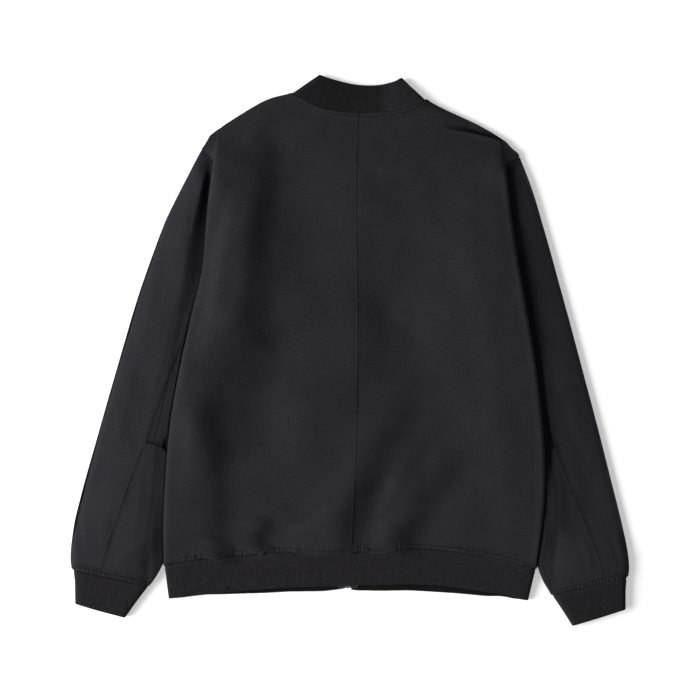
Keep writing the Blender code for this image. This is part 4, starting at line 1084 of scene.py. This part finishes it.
row_tree.links.new(most.outputs[0], varied.inputs[3])
row = place(row_tree, "GeometryNodeInstanceOnPoints",
            {"Points": spots.outputs["Points"], "Instance": piece.outputs["Geometry"],
             "Rotation": turned.outputs["Rotation"], "Scale": varied.outputs[1]})
close_tree(row_tree, row.outputs["Instances"], given["Material"])

# %% One stitch, and rows of it
STITCH_PITCH, STITCH_LENGTH, THREAD_RADIUS = 3.3, 2.7, 0.24


def lathe(name, ends, sides=6):
    """A small round piece along Y, given as (place along, radius, rise) in millimetres."""
    points, faces = [], []
    for y, radius, rise in ends:
        points += [(radius * np.cos(a), y, radius * np.sin(a) + rise)
                   for a in np.linspace(0, 2 * np.pi, sides, endpoint=False)]
    for i in range(len(ends) - 1):
        a, b = i * sides, (i + 1) * sides
        faces += [(a + k, b + k, b + (k + 1) % sides, a + (k + 1) % sides) for k in range(sides)]
    faces += [tuple(range(sides)), tuple(len(points) - 1 - k for k in range(sides))]
    mesh = bpy.data.meshes.new(name)
    mesh.from_pydata([tuple(v * MM for v in p) for p in points], [], faces)
    outward(mesh)
    return link(name, mesh)


half = STITCH_LENGTH / 2
stitch = lathe("one_stitch", [(-half, 0.1, -0.25), (-half * 0.7, THREAD_RADIUS, -0.02),
                              (0, THREAD_RADIUS * 1.1, 0.05),
                              (half * 0.7, THREAD_RADIUS, -0.02), (half, 0.1, -0.25)])
thread = bpy.data.materials.new("thread")
stitches = {}
for seed, (name, line) in enumerate(stitch_lines.items()):
    stitches[name] = grow(name.replace("welt", "stitches"), line, line_edges(len(line)), row_tree, Piece=stitch,
                          Pitch=STITCH_PITCH * MM, Unevenness=0.06, Seed=seed, Material=thread)
bpy.data.objects.remove(stitch)

# %% Zip teeth
TOOTH_PITCH = 2.6
GRIP = 0.9                                  # how far a tooth reaches back round the tape's edge
SLIM = 0.94                                 # its height, as a share of the chain's
FOOT_WIDE, HEAD_WIDE, TOOTH_ROUND = 1.25, 0.95, 0.22
END_GAP = 1.4                               # bare chain at both ends
chain_low, chain_high = (np.array(corner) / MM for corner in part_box("zip_chain"))
zip_x = (chain_low[0] + chain_high[0]) / 2
zip_z = (chain_low[2] + chain_high[2]) / 2
print("zip chain:", chain_low.round(1), chain_high.round(1))


def tooth(side):
    """One tooth: a bar that grips the tape's edge and ends in a slimmer head past the middle."""
    height = (chain_high[2] - chain_low[2]) * SLIM
    reach = (chain_high[0] - chain_low[0]) / 2
    mesh = bpy.data.meshes.new("one_tooth")
    work = bmesh.new()
    bmesh.ops.create_cube(work, size=1.0)
    for vertex in work.verts:
        out = (vertex.co.x + 0.5) * (reach + GRIP) - GRIP
        vertex.co.x = out * side * MM
        vertex.co.y *= (FOOT_WIDE if out < 0.5 else HEAD_WIDE) * MM
        vertex.co.z *= height * MM
    bmesh.ops.bevel(work, geom=list(work.edges), offset=TOOTH_ROUND * MM, segments=1, affect="EDGES")
    bmesh.ops.recalc_face_normals(work, faces=work.faces)
    work.to_mesh(mesh)
    work.free()
    return link("one_tooth", mesh)


zip_metal = bpy.data.materials.new("zip_metal")
teeth = {}
for name, side in SIGN.items():
    one = tooth(side)
    shift = TOOTH_PITCH / 4 * side
    ends = [(zip_x, chain_low[1] + END_GAP + shift, zip_z), (zip_x, chain_high[1] - END_GAP + shift, zip_z)]
    teeth[name] = grow("zip_teeth_" + name, ends, [(0, 1)], row_tree, Piece=one, Pitch=TOOTH_PITCH * MM,
                       Unevenness=0.0, Seed=1, Material=zip_metal)
    bpy.data.objects.remove(one)

# %% [markdown]
# ## Finishes
# The shell is a matt black plain weave with slightly uneven yarns, so its colour and its roughness vary in fine
# streaks across the body. Its pattern follows the cloth's own grain, kept as a UV map in millimetres, which runs
# down each panel and sleeve. The bands are a black knit, a little warmer and duller. Small relief, such as yarns
# and loops, is bump from the same nodes, because it is finer than any mesh.

# %% The grain of each shell
GRAIN_TURN = {"left": radians(-18), "right": radians(17)}        # how a sleeve's yarns are turned
SIDE_REACH = 90.0                           # mm from a piece's middle to where its grain goes on round the side


def map_grain(thing):
    """A UV map in millimetres along and across the yarns, which goes on round the turned sides."""
    points = places(thing)
    turn = GRAIN_TURN[thing.name.split("_")[-1]] if "sleeve" in thing.name else 0.0
    x = points[:, 0] * np.cos(turn) - points[:, 1] * np.sin(turn)
    y = points[:, 0] * np.sin(turn) + points[:, 1] * np.cos(turn)
    u = x - points[:, 2] * np.clip((x - x.mean()) / SIDE_REACH, -1, 1)
    v = y - points[:, 2] * np.clip((y - y.mean()) / SIDE_REACH, -1, 1)
    corners = np.empty(len(thing.data.loops), int)
    thing.data.loops.foreach_get("vertex_index", corners)
    grain = thing.data.uv_layers.get("grain") or thing.data.uv_layers.new(name="grain")
    grain.data.foreach_set("uv", np.column_stack([u, v])[corners].ravel())


for shell in shells.values():
    map_grain(shell)
print("grain mapped on", len(shells), "shells")

# %% Short names for shader nodes
def math(tree, operation, *values):
    return place(tree, "ShaderNodeMath", dict(enumerate(values)), operation=operation).outputs[0]


def plus(tree, one, other):
    return math(tree, "ADD", one, other)


def times(tree, one, other):
    return math(tree, "MULTIPLY", one, other)


def noise(tree, vector, scale, detail=2.0, rough=0.5):
    return place(tree, "ShaderNodeTexNoise",
                 {"Vector": vector, "Scale": scale, "Detail": detail, "Roughness": rough},
                 noise_dimensions="3D").outputs["Fac"]


def stretched(tree, vector, scale):
    return place(tree, "ShaderNodeMapping", {"Vector": vector, "Scale": scale}).outputs["Vector"]


def ranged(tree, value, low, high, new_low, new_high):
    return place(tree, "ShaderNodeMapRange", {"Value": value, "From Min": low, "From Max": high,
                                              "To Min": new_low, "To Max": new_high}).outputs["Result"]


def mixed(tree, factor, dark, light):
    """A colour between two, each a plain colour or a link."""
    made = place(tree, "ShaderNodeMix", {0: factor}, data_type="RGBA")
    for socket, colour in ((made.inputs[6], dark), (made.inputs[7], light)):
        if isinstance(colour, bpy.types.NodeSocket):
            tree.links.new(colour, socket)
        else:
            socket.default_value = (*colour, 1.0)
    return made.outputs[2]


def group_outputs(tree):
    for name, kind in (("Color", "Color"), ("Roughness", "Float"), ("Height", "Float")):
        tree.interface.new_socket(name, in_out="OUTPUT", socket_type="NodeSocket" + kind)
    return tree.nodes.new("NodeGroupOutput")

# %% A node group for woven cloth
CLOTH_DARK, CLOTH_LIGHT = (0.0085, 0.0084, 0.0096), (0.0265, 0.0262, 0.0300)
# A painted sheen, paler than the cloth, for the sleeves, and a painted shade, near black, for pockets and grooves
CLOTH_PAINTED_SHEEN, CLOTH_PAINTED_SHADE = (0.0390, 0.0386, 0.0440), (0.0012, 0.0012, 0.0014)
woven = bpy.data.node_groups.new("woven cloth", "ShaderNodeTree")
given = sockets(woven, Grain="Vector", Yarn="Float", Deep="Float")
out = group_outputs(woven)
threads = place(woven, "ShaderNodeVectorMath", {0: given["Grain"]}, operation="SCALE")
woven.links.new(math(woven, "DIVIDE", np.pi, given["Yarn"]), threads.inputs["Scale"])
parts = place(woven, "ShaderNodeSeparateXYZ", {"Vector": threads.outputs["Vector"]})
warp, weft = math(woven, "SINE", parts.outputs["X"]), math(woven, "SINE", parts.outputs["Y"])
over = ranged(woven, times(woven, warp, weft), -0.25, 0.25, 0.0, 1.0)
high_yarn = times(woven, math(woven, "ABSOLUTE", warp), over)
low_yarn = times(woven, math(woven, "ABSOLUTE", weft), math(woven, "SUBTRACT", 1.0, over))
# Slubs are long along the yarn, grit is fine and nearly even, and mottle is broad.
slub = noise(woven, stretched(woven, given["Grain"], (0.05, 1.1, 1.0)), 1.0, 3.0, 0.6)
grit = noise(woven, stretched(woven, given["Grain"], (0.5, 0.62, 1.0)), 1.0, 2.0, 0.75)
mottle = noise(woven, stretched(woven, given["Grain"], (0.03, 0.03, 1.0)), 1.0, 3.0, 0.5)
streaks = plus(woven, times(woven, slub, 0.24), times(woven, grit, 0.62))
tone = plus(woven, streaks, times(woven, mottle, 0.14))
face = mixed(woven, ranged(woven, tone, 0.3, 0.7, 0.0, 1.0), CLOTH_DARK, CLOTH_LIGHT)
# Painted light: below 0 the colour goes towards the painted sheen, above 0 towards the painted shade
face = mixed(woven, ranged(woven, given["Deep"], -1.0, 0.0, 1.0, 0.0), face, CLOTH_PAINTED_SHEEN)
face = mixed(woven, ranged(woven, given["Deep"], 0.0, 1.0, 0.0, 1.0), face, CLOTH_PAINTED_SHADE)
woven.links.new(face, out.inputs["Color"])
woven.links.new(ranged(woven, grit, 0.3, 0.7, 0.72, 0.62), out.inputs["Roughness"])
relief = plus(woven, times(woven, plus(woven, high_yarn, low_yarn), 0.5), times(woven, streaks, 0.6))
woven.links.new(relief, out.inputs["Height"])

# %% A node group for rib knit
KNIT_PAINTED_SHADE = (0.0055, 0.0052, 0.0058)      # painted shade for a band's low inner face and for part of the collar
KNIT_DARK, KNIT_LIGHT = (0.0060, 0.0056, 0.0062), (0.0280, 0.0260, 0.0285)
knit = bpy.data.node_groups.new("rib knit", "ShaderNodeTree")
given = sockets(knit, Place="Vector", Loop="Float", Inside="Float")
out = group_outputs(knit)
loops = place(knit, "ShaderNodeVectorMath", {0: given["Place"]}, operation="SCALE")
knit.links.new(math(knit, "DIVIDE", 2 * np.pi, given["Loop"]), loops.inputs["Scale"])
parts = place(knit, "ShaderNodeSeparateXYZ", {"Vector": loops.outputs["Vector"]})
course = math(knit, "SINE", parts.outputs["Y"])
fuzz = noise(knit, given["Place"], 760.0, 3.0, 0.8)
blotch = noise(knit, given["Place"], 120.0, 3.0, 0.6)
tone = plus(knit, times(knit, fuzz, 0.85), times(knit, blotch, 0.15))
face = mixed(knit, ranged(knit, tone, 0.3, 0.7, 0.0, 1.0), KNIT_DARK, KNIT_LIGHT)
# Painted shade: the mark darkens the knit towards its painted-shade colour
knit.links.new(mixed(knit, given["Inside"], face, KNIT_PAINTED_SHADE), out.inputs["Color"])
knit.links.new(ranged(knit, fuzz, 0.3, 0.7, 0.9, 0.78), out.inputs["Roughness"])
knit.links.new(plus(knit, times(knit, course, 0.25), fuzz), out.inputs["Height"])

# %% A material from a group
def finish_with(material, group, source, relief, scale, mark=None, **values):
    """A material whose colour, roughness and bump come from a node group, and its painted shade and sheen from a
    mark.
    """
    material.use_nodes = True
    tree = material.node_tree
    tree.nodes.clear()
    if source == "grain":
        where = place(tree, "ShaderNodeUVMap", uv_map="grain").outputs["UV"]
    else:
        where = place(tree, "ShaderNodeTexCoord").outputs["Object"]
    detail = place(tree, "ShaderNodeGroup", {0: where, 1: scale}, node_tree=group)
    if mark:
        tree.links.new(place(tree, "ShaderNodeAttribute", attribute_name=mark).outputs["Fac"], detail.inputs[2])
    bump = place(tree, "ShaderNodeBump",
                 {"Height": detail.outputs["Height"], "Distance": relief, "Strength": 1.0})
    shader = place(tree, "ShaderNodeBsdfPrincipled", {"Base Color": detail.outputs["Color"],
                                                      "Roughness": detail.outputs["Roughness"],
                                                      "Normal": bump.outputs["Normal"], **values})
    place(tree, "ShaderNodeOutputMaterial", {"Surface": shader.outputs["BSDF"]})
    print("finish:", material.name)


def soft(gloss, sheen, sheen_rough):
    return {"Specular IOR Level": gloss, "Sheen Weight": sheen, "Sheen Roughness": sheen_rough}

# %% Cloth, knit, thread and tape: bump height, then the size of a yarn (mm) or a loop (m)
shell_cloth = bpy.data.materials.new("shell_cloth_black")
zip_tape = bpy.data.materials.new("zip_tape_black")
finish_with(shell_cloth, woven, "grain", 0.00012, 0.45, "deep", **soft(0.05, 0.02, 0.5))
finish_with(rib_knit, knit, "object", 0.00018, 0.0012, "inside", **soft(0.05, 0.02, 0.6))
finish_with(thread, knit, "object", 0.00005, 0.0006, **soft(0.1, 0.02, 0.5))
finish_with(zip_tape, woven, "grain", 0.0001, 0.7, **soft(0.2, 0.05, 0.5))

# %% [markdown]
# ## Painted shade and sheen on the shells
# Some places are painted darker than the cloth, as painted shade: the narrow pockets between two layers, the tuck,
# the elbow seam, the inner face of a band and part of the collar. The sleeves are painted a little paler than the
# back, a painted sheen for yarns that run another way to the light. A colour that depends on the place is best kept
# as a number on each point, an attribute, which the group reads: it stays with the piece wherever it goes.

# %% Painted shade and sheen on the panels
TUCK_PAINTED_SHADE, TUCK_NEAR = 0.92, 0.8            # how dark the tuck's painted shade is, and how wide on its near side
TUCK_WIDE = (2.6, 4.6)                      # the painted shade's width on the far side, at its ends and more in its middle
ELBOW_SEAM = curve_through([(-283, -126.5), (-269, -130.5), (-256, -138)])     # the part of it with painted shade, beside the body
# How dark the painted shade along the elbow seam is, and how wide
ELBOW_PAINTED_SHADE, ELBOW_WIDE = 0.85, 2.0
# Painted sheen: how much paler each sleeve is painted, and over how much painted shade that fades out
SLEEVE_PAINTED_SHEEN, PAINTED_SHEEN_FADE = {"left": 0.14, "right": 0.10}, 0.12
# The painted shade in the pocket between each sleeve and the body: place down the jacket, how dark it is and
# how wide, up to its top.
POCKET_PAINTED_SHADE = {
    "left": numbers("""
        -330 0.30 22; -280 0.34 20; -240 0.2 15; -205 0 12; 95 0 12; 130 0.35 12; 168 0.7 11; 205 0.95 10;
        240 0.85 7; 250 0 5"""),
    "right": numbers("""
        -290 0.1 6; -170 0.15 5; -150 0.5 5; -60 0.4 4; 60 0.6 5; 130 0.6 6; 200 0.6 8; 240 0.8 8; 262 0.5 5""")}
POCKET_TOP = {"left": 262, "right": 270}


def sleeve_painted_shade_and_sheen(x, y, z, side):
    """The painted shade of a sleeve. Below 0 it is a painted sheen: the cloth is a little paler."""
    off = np.abs(x - np.interp(y, *body_outlines[side]))
    depth, wide = along(POCKET_PAINTED_SHADE[side], y)
    deep = depth * np.exp(-(off / wide) ** 2) * (y < POCKET_TOP[side]) * (z > 3)
    if side == "left":
        distance, share, _ = off_path(x, y, ELBOW_SEAM)
        deep = np.maximum(deep, ELBOW_PAINTED_SHADE * ease(share * 4) * np.exp(-(distance / ELBOW_WIDE) ** 2) * (z > 5))
    return deep - SLEEVE_PAINTED_SHEEN[side] * (1 - ease(deep / PAINTED_SHEEN_FADE))


# Painted shade in the tuck at the right shoulder, mostly on the far side of its step
def tuck_painted_shade(x, y, z):
    distance, share, side = off_path(x, y, TUCK)
    wide = np.where(side > 0, TUCK_WIDE[0] + TUCK_WIDE[1] * np.sin(np.pi * share), TUCK_NEAR)
    return TUCK_PAINTED_SHADE * ease(share * 1.6) * np.exp(-(distance / wide) ** 4) * ease((z - 2.5) / 1.5)


def keep_mark(thing, name, values):
    """Keep one number for each point of a piece, under a name that its finish reads."""
    thing.data.attributes.new(name, "FLOAT", "POINT").data.foreach_set("value", values)


# Painted shade and sheen on the sleeves, and painted shade in the tuck of the back's right panel
for side, parts in sleeve_parts.items():
    for part in parts:
        keep_mark(part, "deep", sleeve_painted_shade_and_sheen(*places(part).T, side))
keep_mark(shells["back_panel_right"], "deep", tuck_painted_shade(*places(shells["back_panel_right"]).T))

# %% Painted shade on a band's inner face, low and turned up, and on part of the collar
COLLAR_SHADE, SHADE_FROM, SHADE_OVER = 0.42, 36, 22      # how dark the collar's painted shade is, and where along the collar it fades out
INNER_LOW, INNER_UP = 4.5, 0.2              # the inner face lies lower than this and looks up
for band in ("hem_band", "collar_band"):
    for thing in (shells[band], ribs[band]):
        inside = [v.co.z < INNER_LOW * MM and v.normal.z > INNER_UP for v in thing.data.vertices]
        if band == "collar_band":
            inside = COLLAR_SHADE * (1 - ease((places(thing)[:, 0] - SHADE_FROM) / SHADE_OVER))
        keep_mark(thing, "inside", np.array(inside, float))
print("marked:", sum(len(parts) for parts in sleeve_parts.values()) + 1, "panels and 2 bands")

# %% Metal of the zip
METAL_WORN, METAL_DARK = (0.12, 0.12, 0.125), (0.045, 0.045, 0.05)
metal = bpy.data.node_groups.new("dark zip metal", "ShaderNodeTree")
given = sockets(metal, Place="Vector", Grain="Float")
out = group_outputs(metal)
spots = noise(metal, given["Place"], 900.0, 4.0, 0.6)
brushed = noise(metal, stretched(metal, given["Place"], (300.0, 6000.0, 6000.0)), 1.0, 2.0, 0.5)
face = mixed(metal, ranged(metal, spots, 0.35, 0.7, 0.0, 1.0), METAL_DARK, METAL_WORN)
metal.links.new(face, out.inputs["Color"])
metal.links.new(ranged(metal, brushed, 0.3, 0.7, 0.3, 0.45), out.inputs["Roughness"])
metal.links.new(times(metal, brushed, given["Grain"]), out.inputs["Height"])
finish_with(zip_metal, metal, "object", 0.00002, 1.0, Metallic=0.9)

# %% Put each finish on its pieces
def cover(thing, material, smooth=45):
    thing.data.materials.clear()
    thing.data.materials.append(material)
    thing.data.shade_smooth()
    thing.data.set_sharp_from_angle(angle=radians(smooth))


for piece in PANELS:
    cover(shells[piece.name], zip_tape if "tape" in piece.name else shell_cloth)
for piece in BANDS:
    cover(shells[piece.name], rib_knit)
    cover(ribs[piece.name], rib_knit, 60)
for strip in strips.values():
    cover(strip, shell_cloth, 50)
for row in stitches.values():
    cover(row, thread, 70)
for row in teeth.values():
    cover(row, zip_metal, 30)
for node in ("zip_box", "zip_slider", "pull_tab"):
    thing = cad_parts[node]
    for slot in thing.material_slots:
        slot.material = zip_metal
    print(node, "keeps its own shape")

# %% [markdown]
# ## What moves with what
# The whole jacket is one body and the zip's pull tab is another, but only the jacket's pieces are attached here.
# Each shell stands for one solid. Each is also cloth, cut flat before it was sewn, so its flat size is written down
# with the things it lies on.

# %% Ride and replace
def hold(thing, slot, *nodes):
    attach(thing, "jacket")
    if nodes:
        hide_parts(*nodes)


for piece in PANELS:
    hold(shells[piece.name], "zip_tape" if "tape" in piece.name else "shell_cloth", piece.node)
for piece in BANDS:
    hold(shells[piece.name], "rib_knit", piece.node)
    hold(ribs[piece.name], "rib_knit")
for extra in list(strips.values()) + list(stitches.values()):
    hold(extra, "shell_cloth")
for row in teeth.values():
    hold(row, "zip_metal", "zip_chain")

# %% The cut of each sheet, in metres, and what it lies on
Cut = namedtuple("Cut", "piece width length area on extras")
CUTS = [
    Cut("back_panel_left", 0.29, 0.66, 0.164, ["front_panel_left", "top_sleeve_left"],
        ["hem_welt", "hem_stitches", "back_seam"]),
    Cut("back_panel_right", 0.29, 0.66, 0.164, ["front_panel_right", "top_sleeve_right"],
        ["neck_welt", "neck_stitches"]),
    Cut("front_panel_left", 0.26, 0.62, 0.122, ["floor"], []),
    Cut("front_panel_right", 0.26, 0.62, 0.126, ["floor"], []),
    Cut("top_sleeve_left", 0.27, 0.63, 0.1125, ["floor"], ["sleeve_seam_left", "armhole_seam_left"]),
    Cut("top_sleeve_right", 0.26, 0.63, 0.099, ["floor"], ["sleeve_seam_right", "armhole_seam_right"]),
    Cut("under_sleeve_upper_left", 0.09, 0.36, 0.0160, ["floor"], []),
    Cut("under_sleeve_upper_right", 0.09, 0.36, 0.0145, ["floor"], []),
    Cut("under_sleeve_lower_left", 0.12, 0.30, 0.0198, ["floor"], ["cuff_welt_left", "cuff_stitches_left"]),
    Cut("under_sleeve_lower_right", 0.12, 0.30, 0.0193, ["floor"], ["cuff_welt_right", "cuff_stitches_right"]),
    Cut("collar_band", 0.48, 0.05, 0.0174, ["front_panel_left", "front_panel_right"], ["collar_ribs"]),
    Cut("hem_band", 1.05, 0.055, 0.0522, ["floor"], ["hem_ribs"]),
    Cut("cuff_band_left", 0.23, 0.055, 0.0095, ["floor"], ["cuff_ribs_left"]),
    Cut("cuff_band_right", 0.23, 0.055, 0.0095, ["floor"], ["cuff_ribs_right"]),
    Cut("zip_tape_strip_left", 0.012, 0.64, 0.0076, ["floor"], ["zip_teeth_left"]),
    Cut("zip_tape_strip_right", 0.012, 0.64, 0.0076, ["floor"], ["zip_teeth_right"]),
]
for cut in CUTS:
    on, extras = ([bpy.data.objects[name] for name in names] for names in (cut.on, cut.extras))
print("sheets:", len(CUTS))
